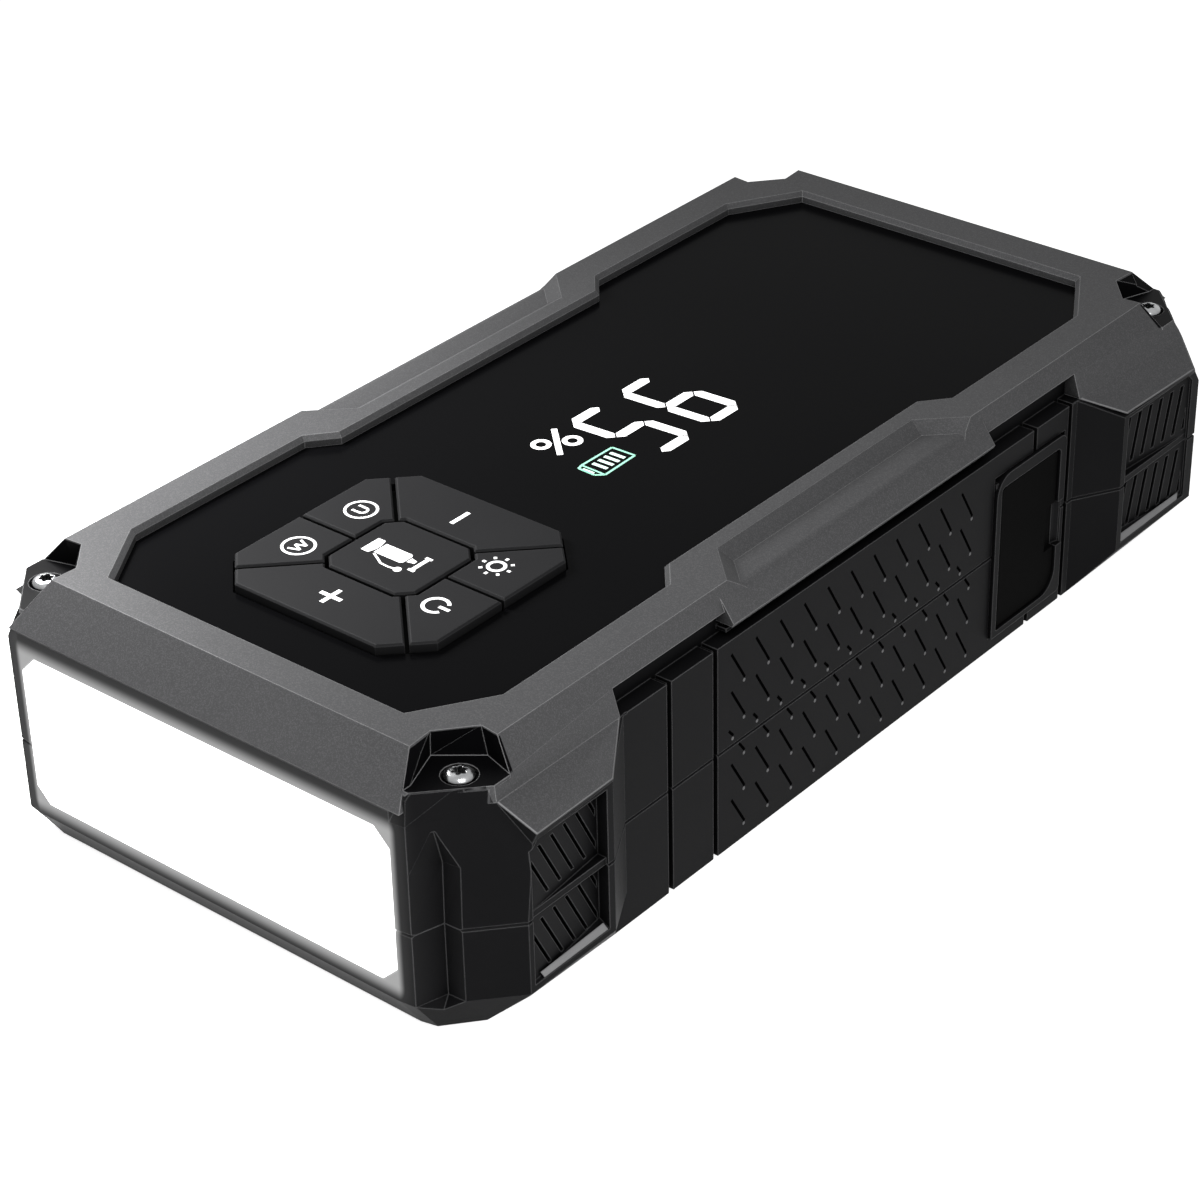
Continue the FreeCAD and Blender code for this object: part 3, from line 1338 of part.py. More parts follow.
def lead(z_end, inward):
    x = MAIN_WIDTH / 2.0 - inward
    x_turn = SOCKET_X - SOCKET_DEPTH - LEAD_ROOM
    start = vec(x, BATTERY_Y + MAIN_LENGTH / 2.0 - LEAD_START, MAIN_Z + BOARD_THICK + LEAD_RADIUS)
    points = [start, vec(x, start.y + LEAD_RUN, start.z), vec(x_turn, start.y + 2 * LEAD_RUN, z_end),
              vec(x_turn, PORT_Y, z_end), vec(SOCKET_X - SOCKET_DEPTH, PORT_Y, z_end)]
    runs = [(b - a).normalize() for a, b in zip(points, points[1:])]
    rings = [lead_ring(points[0], runs[0], 1.0)]
    for point, before, after in zip(points[1:], runs, runs[1:]):
        tangent = (before + after).normalize()
        rings.append(lead_ring(point, tangent, 1.0 / tangent.dot(after)))
    rings.append(lead_ring(points[-1], runs[-1], 1.0))
    return faceted(rings)


def motor_can():
    back = MOTOR_X1 - MOTOR_LENGTH
    can = prism_x(many_sided(MOTOR_RADIUS, MOTOR_SIDES, MOTOR_Y, MOTOR_Z), back, MOTOR_X1)
    rear = [e for e in can.Edges if all(v.X < back + TOUCH for v in e.Vertexes)]
    can = can.makeChamfer(MOTOR_CHAMFER, rear)
    return can.cut(rod_x(SHAFT_RADIUS + SHAFT_FIT, MOTOR_X1 - SHAFT_SEAT - OVER, MOTOR_X1, MOTOR_Y, MOTOR_Z))


def toothed(teeth, width, x0, y, z, start):
    pitch_radius = MODULE * teeth / 2.0
    root = pitch_radius - ROOT_SHARE * MODULE
    tip = pitch_radius + TIP_SHARE * MODULE
    step = 2.0 * math.pi / teeth
    points = []
    for i in range(teeth):
        middle = start + i * step
        for radius, share in ((root, -TOOTH_HALF_ROOT), (tip, -TOOTH_HALF_TIP), (tip, TOOTH_HALF_TIP),
                              (root, TOOTH_HALF_ROOT)):
            angle = middle + share * step
            points.append((y + radius * math.cos(angle), z + radius * math.sin(angle)))
    return prism_x(points, x0, x0 + width)


def motor_pinion():
    x0 = MOTOR_X1 + PLATE_THICK
    gear = toothed(PINION_TEETH, PINION_WIDTH, x0 + PINION_ROOM, MOTOR_Y, MOTOR_Z, 0.0)
    shaft = rod_x(SHAFT_RADIUS, MOTOR_X1 - SHAFT_SEAT, x0 + OVER, MOTOR_Y, MOTOR_Z)
    return gear.fuse(shaft).removeSplitter()


def crank_gear():
    x0 = MOTOR_X1 + PLATE_THICK + GEAR_ROOM
    x1 = x0 + GEAR_WIDTH
    half_tooth = math.pi / GEAR_TEETH
    gear = toothed(GEAR_TEETH, GEAR_WIDTH, x0, GEAR_Y, MOTOR_Z, math.pi + half_tooth)
    gear = gear.cut(rod_x(AXLE_RADIUS + AXLE_FIT, x0, x1, GEAR_Y, MOTOR_Z))
    pin = rod_x(CRANK_PIN, x1 - OVER / 2.0, x1 + CRANK_PIN_LENGTH, GEAR_Y + CRANK_RADIUS, MOTOR_Z)
    return gear.fuse(pin).removeSplitter()


def gear_bracket():
    x1 = MOTOR_X1 + PLATE_THICK
    y0 = MOTOR_Y - BRACKET_REACH
    y1 = BARREL_Y0 + OVER
    plate = box(MOTOR_X1, x1, y0, y1, INSIDE_Z, MOTOR_Z + BRACKET_REACH)
    foot = box(MOTOR_X1 - BRACKET_FOOT, x1, y0, y1, INSIDE_Z, INSIDE_Z + PLATE_THICK)
    axle = rod_x(AXLE_RADIUS, MOTOR_X1, x1 + GEAR_ROOM + GEAR_WIDTH + AXLE_PAST, GEAR_Y, MOTOR_Z)
    shelf = box(MOTOR_X1, BARREL_X + FIN_SIZE / 2.0, BARREL_Y0 - PLATE_THICK, BARREL_Y0, INSIDE_Z,
                MOTOR_Z + BRACKET_SHELF)
    bore = tube_y(BARREL_RADIUS - TUBE_WALL, ROUND_SIDES, BARREL_Y0 - PLATE_THICK - OVER, BARREL_Y0 + OVER)
    hole = rod_x(SHAFT_RADIUS + SHAFT_FIT, MOTOR_X1, x1, MOTOR_Y, MOTOR_Z)
    return plate.fuse([foot, axle, shelf]).cut([bore, hole]).removeSplitter()


def cylinder_block():
    barrel = tube_y(BARREL_RADIUS, ROUND_SIDES, BARREL_Y0, HEAD_Y)
    pitch = BARREL_LENGTH / BARREL_FINS
    half = FIN_SIZE / 2.0
    fins = []
    for i in range(BARREL_FINS):
        y = BARREL_Y0 + (i + 0.4) * pitch
        fins.append(box(BARREL_X - half, BARREL_X + half, y, y + FIN_THICK, MOTOR_Z - half, MOTOR_Z + half))
    return barrel.fuse(fins).removeSplitter()


def cylinder_head():
    half = HEAD_SIZE / 2.0
    y1 = HEAD_Y + HEAD_THICK
    block = box(BARREL_X - half, BARREL_X + half, HEAD_Y, y1, MOTOR_Z - half, MOTOR_Z + half)
    block = block.makeChamfer(HEAD_CHAMFER, [e for e in block.Edges if runs_along_y(e)])
    nipple = tube_y(TUBE_RADIUS - TUBE_WALL, TUBE_SIDES, y1 - OVER, y1 + NIPPLE_LENGTH)
    return block.fuse(nipple).removeSplitter()


def air_tube():
    y0 = HEAD_Y + HEAD_THICK
    y1 = LENS_BACK - OUTLET_NUT_THICK - OUTLET_TAIL
    return tube_y(TUBE_RADIUS, TUBE_SIDES, y0, y1).cut(tube_y(TUBE_RADIUS - TUBE_WALL, TUBE_SIDES, y0, y1))


def air_outlet():
    y_nut = LENS_BACK - OUTLET_NUT_THICK
    stub = tube_y(OUTLET_RADIUS, ROUND_SIDES, y_nut, END_Y)
    nut = tube_y(OUTLET_NUT, NUT_SIDES, y_nut, LENS_BACK)
    tail = tube_y(TUBE_RADIUS, TUBE_SIDES, y_nut - OUTLET_TAIL, y_nut)
    bore = tube_y(OUTLET_BORE, TUBE_SIDES, y_nut - OUTLET_TAIL, END_Y)
    return stub.fuse([nut, tail]).cut(bore).removeSplitter()


def screw(x, y, z_head, side):
    ring = many_sided(HEAD_RADIUS, 2 * SCREW_SIDES, x, y)
    crown = many_sided(HEAD_RADIUS - HEAD_CHAMFER_SIZE, 2 * SCREW_SIDES, x, y)
    shank = many_sided(SCREW_RADIUS, SCREW_SIDES, x, y)
    edge = z_head + side * (HEAD_HEIGHT - HEAD_CHAMFER_SIZE)
    head = stack([(z_head, ring), (edge, ring), (z_head + side * HEAD_HEIGHT, crown)])
    return head.fuse(prism(shank, z_head, z_head - side * SCREW_LENGTH)).removeSplitter()


def corner_screws():
    return [screw(x, y, POCKET_Z - COUNTERBORE_DEPTH, 1) for x, y in screw_places()]


def case_screws():
    return [screw(x, y, FLOOR_Z + CASE_SCREW_SUNK, -1) for x, y in case_screw_places()]


def rubber_feet():
    sides = 2 * SCREW_SIDES
    feet = []
    for x, y in foot_places():
        rim = many_sided(FOOT_RADIUS - LENS_FIT, sides, x, y)
        sole = many_sided(FOOT_RADIUS - 4 * LENS_FIT, sides, x, y)
        feet.append(stack([(0.0, sole), (FOOT_PROUD / 2.0, rim), (FLOOR_Z + FOOT_SINK, rim)]))
    return feet


def save(name, shape):
    pieces = shape if isinstance(shape, list) else shape.Solids
    kept = pieces[0] if len(pieces) == 1 else Part.makeCompound(pieces)
    kept.exportStep("parts/" + name + ".step")


def main():
    os.makedirs("parts", exist_ok=True)
    outside = frame_outside()
    save("top_frame", top_frame(outside))
    save("middle_case", middle_case(outside))
    save("bottom_case", bottom_case())
    save("display_panel", display_panel())
    for name in key_centres():
        save(name, key(name))
    save("keypad_base", keypad_base())
    save("switch_board", switch_board())
    save("switch_domes", switch_domes())
    save("display_module", display_module())
    save("lamp_lens", lamp_lens())
    save("lamp_tray", lamp_tray())
    save("lamp_leds", lamp_leds())
    save("lamp_board", lamp_board())
    save("end_panel", end_panel())
    save("usb_a_port", usb_port(USB_A_X, USB_A_WIDTH, USB_A_HEIGHT, USB_A_CORNER, USB_A_TONGUE))
    save("usb_c_port", usb_port(USB_C_X, USB_C_WIDTH, USB_C_HEIGHT, USB_C_CORNER, USB_C_TONGUE))
    save("port_frame", port_frame())
    save("port_flap", port_flap())
    save("jump_socket", jump_socket())
    save("socket_contacts", socket_contacts())
    save("battery_cells", battery_cells())
    save("battery_tray", battery_tray())
    save("battery_straps", battery_straps())
    save("main_board", main_board())
    save("board_heatsink", board_heatsink())
    save("positive_lead", lead(contact_heights()[1], POSITIVE_LEAD_IN))
    save("negative_lead", lead(contact_heights()[0], NEGATIVE_LEAD_IN))
    save("motor_can", motor_can())
    save("motor_pinion", motor_pinion())
    save("crank_gear", crank_gear())
    save("gear_bracket", gear_bracket())
    save("cylinder_block", cylinder_block())
    save("cylinder_head", cylinder_head())
    save("air_tube", air_tube())
    save("air_outlet", air_outlet())
    save("corner_screws", corner_screws())
    save("case_screws", case_screws())
    save("rubber_feet", rubber_feet())


main()
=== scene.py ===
# %% [markdown]
# # A jump starter pack with an inflator and an end lamp
#
# The pack is a flat box with cut corners. A black case in two halves is held by a gray frame that
# wraps its top. A glossy screen panel and a rubber keypad lie in the frame's window, and a lamp
# fills one end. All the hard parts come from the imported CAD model. This script gives each of them
# its finish, adds the small things that a mould or a printer puts on them, and sets up the studio.

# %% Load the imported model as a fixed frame
import json
import math

import bmesh
import bpy
from mathutils import Matrix, Vector
from mathutils.bvhtree import BVHTree


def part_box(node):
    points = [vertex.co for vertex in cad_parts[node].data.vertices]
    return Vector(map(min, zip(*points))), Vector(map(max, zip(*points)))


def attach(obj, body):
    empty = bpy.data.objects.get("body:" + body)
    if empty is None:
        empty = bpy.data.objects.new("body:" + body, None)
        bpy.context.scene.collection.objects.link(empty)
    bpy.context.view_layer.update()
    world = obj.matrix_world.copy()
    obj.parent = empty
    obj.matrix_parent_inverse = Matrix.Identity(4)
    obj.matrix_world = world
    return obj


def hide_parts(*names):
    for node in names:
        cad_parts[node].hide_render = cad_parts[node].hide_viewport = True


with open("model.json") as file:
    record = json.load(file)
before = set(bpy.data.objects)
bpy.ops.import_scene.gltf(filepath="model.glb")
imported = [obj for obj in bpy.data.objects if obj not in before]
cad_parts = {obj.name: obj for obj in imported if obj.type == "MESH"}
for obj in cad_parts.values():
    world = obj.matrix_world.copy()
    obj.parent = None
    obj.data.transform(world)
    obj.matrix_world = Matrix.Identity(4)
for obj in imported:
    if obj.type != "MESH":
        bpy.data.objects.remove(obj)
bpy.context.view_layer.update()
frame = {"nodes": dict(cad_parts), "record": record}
nodes = frame["nodes"]

# %% [markdown]
# ## Measures
#
# The places of the pieces are read from the boxes of the CAD nodes, so a change of the CAD model
# moves the looks with it. Lengths are in metres, and `MM` turns a drawing's millimetres into them.

# %% Units and places
MM = 0.001


def low(node):
    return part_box(node)[0]


def high(node):
    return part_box(node)[1]


PANEL_TOP = high("display_panel").z
KEY_TOP = high("key_pump").z
RIM_TOP = high("top_frame").z
print("panel", PANEL_TOP, "keys", KEY_TOP, "rim", RIM_TOP)

# %% [markdown]
# ## Colours and nodes
#
# Colours are given as sRGB hex values, and Blender's sockets want linear light, so one function
# converts them. A second small function adds a shader node, sets its options and either sets or
# links each socket. A socket is given by its name, or by its number where that is clearer, so `_0` is
# the first one. With these two, a finish reads as a short list of steps.


# %% Colour and node helpers
def linear(hex_colour):
    channels = []
    for i in (1, 3, 5):
        value = int(hex_colour[i:i + 2], 16) / 255
        channels.append(value / 12.92 if value <= 0.04045 else ((value + 0.055) / 1.055) ** 2.4)
    return (*channels, 1.0)


def add(tree, kind, options=None, **sockets):
    made = tree.nodes.new("ShaderNode" + kind)
    for key, value in (options or {}).items():
        setattr(made, key, value)
    for key, value in sockets.items():
        socket = made.inputs[int(key[1:])] if key[0] == "_" else made.inputs[key.replace("_", " ")]
        if isinstance(value, bpy.types.NodeSocket):
            tree.links.new(value, socket)
        else:
            socket.default_value = value
    return made


def blank(name):
    material = bpy.data.materials.new(name)
    material.use_nodes = True
    tree = material.node_tree
    tree.nodes.clear()
    output = tree.nodes.new("ShaderNodeOutputMaterial")
    shader = tree.nodes.new("ShaderNodeBsdfPrincipled")
    tree.links.new(shader.outputs[0], output.inputs["Surface"])
    return material, tree, shader


def object_place(tree):
    return tree.nodes.new("ShaderNodeTexCoord").outputs["Object"]


# %% [markdown]
# ## Edges and corners
#
# Two things show the form of a dark plastic object. Its edges catch the light, and its grooves and
# inner corners get less of it, and both are painted into the colour here. A Bevel node gives the
# normal of a rounded edge. Where that normal turns away from the face's own one there is an edge, and
# the turn is a mask for a painted highlight, a paler colour along the edge. An Ambient Occlusion node
# finds the grooves, and its value darkens the colour as painted shade. Both masks run between two
# named levels: the cosine of the turn, and how open the surface lies.


# %% Masks for painted edge highlights and painted groove shade
EDGE_START = 0.985
EDGE_FULL = 0.94
GROOVE_CLOSED = 0.25
GROOVE_OPEN = 0.95


def rounded(tree, radius):
    return add(tree, "Bevel", {"samples": 6}, Radius=radius * MM).outputs[0]


def edge_highlight(tree, soft_normal, most):
    face_normal = tree.nodes.new("ShaderNodeNewGeometry").outputs["True Normal"]
    turn = add(tree, "VectorMath", {"operation": "DOT_PRODUCT"}, _0=soft_normal, _1=face_normal)
    return add(tree, "MapRange", None, Value=turn.outputs["Value"], _1=EDGE_START, _2=EDGE_FULL, _3=0.0,
               _4=most).outputs[0]


def groove_shade(tree, reach, darkest):
    opened = add(tree, "AmbientOcclusion", {"samples": 6}, Distance=reach * MM)
    return add(tree, "MapRange", None, Value=opened.outputs["AO"], _1=GROOVE_CLOSED, _2=GROOVE_OPEN,
               _3=darkest, _4=1.0).outputs[0]


def mixed(tree, share, first, second, blend="MIX"):
    made = add(tree, "Mix", {"data_type": "RGBA", "blend_type": blend}, _0=share)
    for socket, colour in ((made.inputs[6], first), (made.inputs[7], second)):
        if isinstance(colour, str):
            socket.default_value = linear(colour)
        else:
            tree.links.new(colour, socket)
    return made.outputs[2]


# %% [markdown]
# ## Moulded plastic
#
# A mould for a tool case is spark eroded, which leaves a fine random grain. Two noises make it: a
# small one drives the bump, and a wide one moves the colour a little, as handling and uneven
# cooling do. Black mouldings are photographed with little gloss, so the specular level is low.


# %% A grained plastic that several finishes share
GRAIN_SIZE = 0.35
GRAIN_DEPTH = 0.02
MOULDED_EDGE = 0.3
MOULDED_GROOVE = 3.0
GLOSS_SPREAD = 0.06


def moulded(name, dark, pale, rough, grain=0.25, shine=0.3, highlight=None, most=0.8, darkest=1.0):
    material, tree, shader = blank(name)
    place = object_place(tree)
    wide = add(tree, "TexNoise", Vector=place, Scale=45.0, Detail=3.0)
    fine = add(tree, "TexNoise", Vector=place, Scale=1.0 / (GRAIN_SIZE * MM), Detail=2.0)
    colour = mixed(tree, wide.outputs[0], dark, pale)
    soft = rounded(tree, MOULDED_EDGE)
    # A highlight colour paints a highlight along the edges, and darkest below 1 paints shade into the
    # grooves.
    if highlight:
        colour = mixed(tree, edge_highlight(tree, soft, most), colour, highlight)
    if darkest < 1.0:
        colour = mixed(tree, 1.0, colour, groove_shade(tree, MOULDED_GROOVE, darkest), "MULTIPLY")
    tree.links.new(colour, shader.inputs["Base Color"])
    gloss = add(tree, "MapRange", None, Value=fine.outputs[0], _3=rough - GLOSS_SPREAD,
                _4=rough + GLOSS_SPREAD)
    tree.links.new(gloss.outputs[0], shader.inputs["Roughness"])
    bump = add(tree, "Bump", Strength=grain, Distance=GRAIN_DEPTH * MM, Height=fine.outputs[0], Normal=soft)
    tree.links.new(bump.outputs[0], shader.inputs["Normal"])
    shader.inputs["Specular IOR Level"].default_value = shine
    return material


case_black = moulded("grained_black_case", "#0c0c0d", "#131314", 0.5, shine=0.03, highlight="#525253",
                     most=0.9, darkest=0.1)
tray_black = moulded("plain_black_nylon", "#151515", "#1f1f1f", 0.6)
nylon_white = moulded("white_nylon", "#d8d4c8", "#e6e2d6", 0.45)
socket_blue = moulded("blue_socket_nylon", "#14306e", "#1b3a7e", 0.45)
print("plastics:", case_black.name, tray_black.name)

# %% [markdown]
# ## The satin gray frame
#
# The frame is sprayed with a gray paint that holds fine metal flakes. Voronoi cells stand for the
# flakes. Real ones are finer than a pixel here, so they are drawn at 0.16 mm, with little contrast.
# Inside the four corner pockets the colour is painted near black as painted shade, and the gloss is
# tinted black there so no reflection shows; their edges get the painted highlight. Each pocket has
# three leaning walls, and a surface is in a pocket where it lies past all three planes, below the
# rim and above the floor plate. The real walls are a little twisted, so the planes are moved
# outwards by `POCKET_SLACK`. The pockets are alike, so the mask works on the size of x and y.

# %% The three walls of a corner pocket
SIDE_WALL = 51.1 * MM
END_FACE = 109.6 * MM
POCKET_FOOT = [(8.3, 2.3), (12.1, 12.2), (5.2, 17.6), (-0.9, 15.8)]
POCKET_TOP = [(11.5, 7.2), (11.9, 12.2), (6.8, 18.1), (3.2, 17.7)]
POCKET_FLOOR = 46.1 * MM
POCKET_UNDER_RIM = 0.3 * MM
POCKET_UNDER_FLOOR = 0.05 * MM
POCKET_SLACK = 0.8 * MM
POCKET_FADE = 0.1 * MM


def pocket_corner(inward, back, z):
    return Vector((SIDE_WALL - inward * MM, END_FACE - back * MM, z))


foot = [pocket_corner(*corner, POCKET_FLOOR) for corner in POCKET_FOOT]
lip = [pocket_corner(*corner, RIM_TOP) for corner in POCKET_TOP]
pocket_middle = sum(foot, Vector()) / len(foot)
pocket_walls = []
for i in range(3):
    wall_normal = (foot[i + 1] - foot[i]).cross((lip[i] + lip[i + 1]) / 2 - foot[i]).normalized()
    if wall_normal.dot(pocket_middle - foot[i]) < 0.0:
        wall_normal.negate()
    pocket_walls.append((wall_normal, wall_normal.dot(foot[i])))
print("pocket walls:", [tuple(round(v, 2) for v in normal) for normal, offset in pocket_walls])


# %% Gray paint with fine flakes, painted shade in the pockets and painted edge highlights
def pocket_shade_mask(tree, place):
    folded = add(tree, "VectorMath", {"operation": "ABSOLUTE"}, _0=place).outputs[0]
    height = add(tree, "SeparateXYZ", Vector=folded).outputs["Z"]
    below = add(tree, "Math", {"operation": "LESS_THAN"}, _0=height, _1=RIM_TOP - POCKET_UNDER_RIM)
    above = add(tree, "Math", {"operation": "GREATER_THAN"}, _0=height, _1=POCKET_FLOOR - POCKET_UNDER_FLOOR)
    mask = add(tree, "Math", {"operation": "MULTIPLY"}, _0=below.outputs[0], _1=above.outputs[0]).outputs[0]
    for normal, offset in pocket_walls:
        depth = add(tree, "VectorMath", {"operation": "DOT_PRODUCT"}, _0=folded, _1=normal)
        beyond = add(tree, "MapRange", None, Value=depth.outputs["Value"], _1=offset - POCKET_SLACK,
                     _2=offset - POCKET_SLACK + POCKET_FADE, _3=0.0, _4=1.0)
        mask = add(tree, "Math", {"operation": "MULTIPLY"}, _0=mask, _1=beyond.outputs[0]).outputs[0]
    return mask


FLAKE_SIZE = 0.16
FRAME_GROOVE = 7.0
FRAME_EDGE = 0.25
frame_gray, tree, shader = blank("satin_gray_flake_paint")
place = object_place(tree)
wide = add(tree, "TexNoise", Vector=place, Scale=30.0, Detail=2.0)
flakes = add(tree, "TexVoronoi", Vector=place, Scale=1.0 / (FLAKE_SIZE * MM))
random_value = add(tree, "SeparateColor", Color=flakes.outputs["Color"])
sparkle = add(tree, "MapRange", None, Value=random_value.outputs[0], _1=0.5, _2=1.0, _3=0.0, _4=0.7)
colour = mixed(tree, wide.outputs[0], "#454546", "#4b4b4c")
colour = mixed(tree, sparkle.outputs[0], colour, "#5a5a5b")
colour = mixed(tree, 1.0, colour, groove_shade(tree, FRAME_GROOVE, 0.15), "MULTIPLY")
# Painted shade: inside the corner pockets the colour is painted near black, and the Specular Tint is set to
# black there so no reflection shows.
pocket_shade = pocket_shade_mask(tree, place)
colour = mixed(tree, pocket_shade, colour, "#070708")
soft = rounded(tree, FRAME_EDGE)
# Painted highlight: a paler gray along the edges of the frame.
colour = mixed(tree, edge_highlight(tree, soft, 0.75), colour, "#8c8c8d")
tree.links.new(colour, shader.inputs["Base Color"])
tree.links.new(mixed(tree, pocket_shade, "#ffffff", "#000000"), shader.inputs["Specular Tint"])
bump = add(tree, "Bump", Strength=0.08, Distance=GRAIN_DEPTH * MM, Height=random_value.outputs[1],
           Normal=soft)
tree.links.new(bump.outputs[0], shader.inputs["Normal"])
shader.inputs["Metallic"].default_value = 0.05
shader.inputs["Roughness"].default_value = 0.42
shader.inputs["Specular IOR Level"].default_value = 0.04
print("frame:", frame_gray.name)

# %% [markdown]
# ## Screen, keys and rubber
#
# The screen panel is one sheet of smoked acrylic: nearly black, smooth, with the faintest cloud in
# its gloss. The keys and the flap are silicone rubber, which is dull and a little dusty. The side
# of the key pad is darker than its top, because little light gets down beside it.

# %% Smooth and rubbery finishes
panel_black, tree, shader = blank("smoked_acrylic")
place = object_place(tree)
cloud = add(tree, "TexNoise", Vector=place, Scale=18.0, Detail=1.0)
tree.links.new(mixed(tree, cloud.outputs[0], "#070708", "#0a0a0b"), shader.inputs["Base Color"])
gloss = add(tree, "MapRange", None, Value=cloud.outputs[0], _3=0.16, _4=0.22)
tree.links.new(gloss.outputs[0], shader.inputs["Roughness"])
shader.inputs["Specular IOR Level"].default_value = 0.01

key_rubber = moulded("silicone_key_rubber", "#1d1d1e", "#222223", 0.62, grain=0.2, shine=0.05,
                     highlight="#3a3a3b", darkest=0.02)
flap_rubber = moulded("soft_black_rubber", "#050505", "#080808", 0.66, grain=0.2, shine=0.01)
foot_rubber = moulded("gray_foot_rubber", "#232323", "#2e2e2e", 0.8, grain=0.5)
print("rubbers:", key_rubber.name, flap_rubber.name)

# %% [markdown]
# ## The lit lens
#
# The lamp lens is opal acrylic with the lamp switched on, so it glows evenly and clips to white.
# A little noise keeps the body colour from being one flat value where the glow is seen at a slant.

# %% Opal glow
lens_white, tree, shader = blank("opal_lens_lit")
place = object_place(tree)
haze = add(tree, "TexNoise", Vector=place, Scale=60.0)
milk = mixed(tree, haze.outputs[0], "#f2f2f2", "#ffffff")
tree.links.new(milk, shader.inputs["Base Color"])
tree.links.new(milk, shader.inputs["Emission Color"])
shader.inputs["Emission Strength"].default_value = 1.6
shader.inputs["Roughness"].default_value = 0.3
print("lens:", lens_white.name)

# %% [markdown]
# ## The lamp's glow round the lens
#
# Some of the lamp's light spreads in the plastic round the lens and in the air in front. The glow
# falls off with the distance from the lens, which is worked out from the lens's own box, so the
# case is brightest along the edge of the opening and black a few millimetres on. It reaches half as
# far sideways as it does up and down. Each glow below is a reach in millimetres and a strength.

# %% Glow on the case near the lens
NEAR_GLOW = (2.9, 0.36)
WIDE_GLOW = (9.0, 0.03)
GLOW_STRETCH = (2.0, 1.0, 1.0)


def glow_within(tree, distance, reach, strength):
    return add(tree, "MapRange", {"interpolation_type": "SMOOTHSTEP"}, Value=distance, _1=0.0,
               _2=reach * MM, _3=strength, _4=0.0).outputs[0]


tree = case_black.node_tree
lens_middle = (low("lamp_lens") + high("lamp_lens")) / 2
lens_half = (high("lamp_lens") - low("lamp_lens")) / 2
from_lens = add(tree, "VectorMath", {"operation": "SUBTRACT"}, _0=object_place(tree), _1=lens_middle)
sideways = add(tree, "VectorMath", {"operation": "ABSOLUTE"}, _0=from_lens.outputs[0])
past_lens = add(tree, "VectorMath", {"operation": "SUBTRACT"}, _0=sideways.outputs[0], _1=lens_half)
past_lens = add(tree, "VectorMath", {"operation": "MULTIPLY"}, _0=past_lens.outputs[0], _1=GLOW_STRETCH)
past_lens = add(tree, "VectorMath", {"operation": "MAXIMUM"}, _0=past_lens.outputs[0], _1=(0.0, 0.0, 0.0))
gap = add(tree, "VectorMath", {"operation": "LENGTH"}, _0=past_lens.outputs[0]).outputs["Value"]
glow = add(tree, "Math", {"operation": "ADD"}, _0=glow_within(tree, gap, *NEAR_GLOW),
           _1=glow_within(tree, gap, *WIDE_GLOW))
shader = next(node for node in tree.nodes if node.type == "BSDF_PRINCIPLED")
tree.links.new(mixed(tree, glow.outputs[0], "#000000", "#ffffff"), shader.inputs["Emission Color"])
shader.inputs["Emission Strength"].default_value = 1.0
print("lens half size:", [round(v, 4) for v in lens_half])

# %% [markdown]
# ## Metals, boards and foils inside
#
# Little of the inside shows, but each part keeps its own finish: turned brass, plated screws,
# solder mask over glass fibre, the crinkled foil of the cells and yellow tape. Metals get fine
# lines along z, and their recesses are shaded in the way of the plastic's grooves.


# %% Metals
METAL_GROOVE = 1.6
METAL_EDGE = 0.2
SCRATCH_DEPTH = 0.01


def metal(name, colour, shade, rough, scratch=0.15):
    material, tree, shader = blank(name)
    place = object_place(tree)
    brushed = add(tree, "Mapping", Vector=place, Scale=(900.0, 900.0, 90.0))
    lines = add(tree, "TexNoise", Vector=brushed.outputs[0], Scale=1.0, Detail=2.0)
    blend = mixed(tree, lines.outputs[0], colour, shade)
    shaded = mixed(tree, 1.0, blend, groove_shade(tree, METAL_GROOVE, 0.02), "MULTIPLY")
    tree.links.new(shaded, shader.inputs["Base Color"])
    gloss = add(tree, "MapRange", None, Value=lines.outputs[0], _3=rough - 0.05, _4=rough + 0.08)
    tree.links.new(gloss.outputs[0], shader.inputs["Roughness"])
    soft = add(tree, "Bevel", {"samples": 4}, Radius=METAL_EDGE * MM)
    bump = add(tree, "Bump", Strength=scratch, Distance=SCRATCH_DEPTH * MM, Height=lines.outputs[0],
               Normal=soft.outputs[0])
    tree.links.new(bump.outputs[0], shader.inputs["Normal"])
    shader.inputs["Metallic"].default_value = 1.0
    return material


screw_steel = metal("plated_screw_steel", "#8f9091", "#b4b5b6", 0.24)
brass = metal("turned_brass", "#b8923e", "#d0aa55", 0.28)
cast_metal = metal("die_cast_alloy", "#8f9092", "#a2a3a5", 0.5, scratch=0.5)
motor_steel = metal("drawn_motor_steel", "#8a8b8d", "#9c9da0", 0.32)
cell_foil = metal("pouch_cell_foil", "#a9abae", "#c0c2c5", 0.35, scratch=0.4)
board_green = moulded("green_solder_mask", "#0f3a20", "#15492a", 0.3, grain=0.1)
strap_yellow = moulded("yellow_tape", "#c08a1e", "#cf9a2c", 0.4, grain=0.1)
lead_red = moulded("red_silicone_lead", "#8e1512", "#a01d18", 0.5)
lead_black = moulded("black_silicone_lead", "#141414", "#1c1c1c", 0.5)
print("inside:", screw_steel.name, brass.name, board_green.name, cell_foil.name)

# %% [markdown]
# ## Hand out the finishes
#
# A CAD node keeps its mesh and gets a material in its first slot. One table by material slot is
# enough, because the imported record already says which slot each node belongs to.

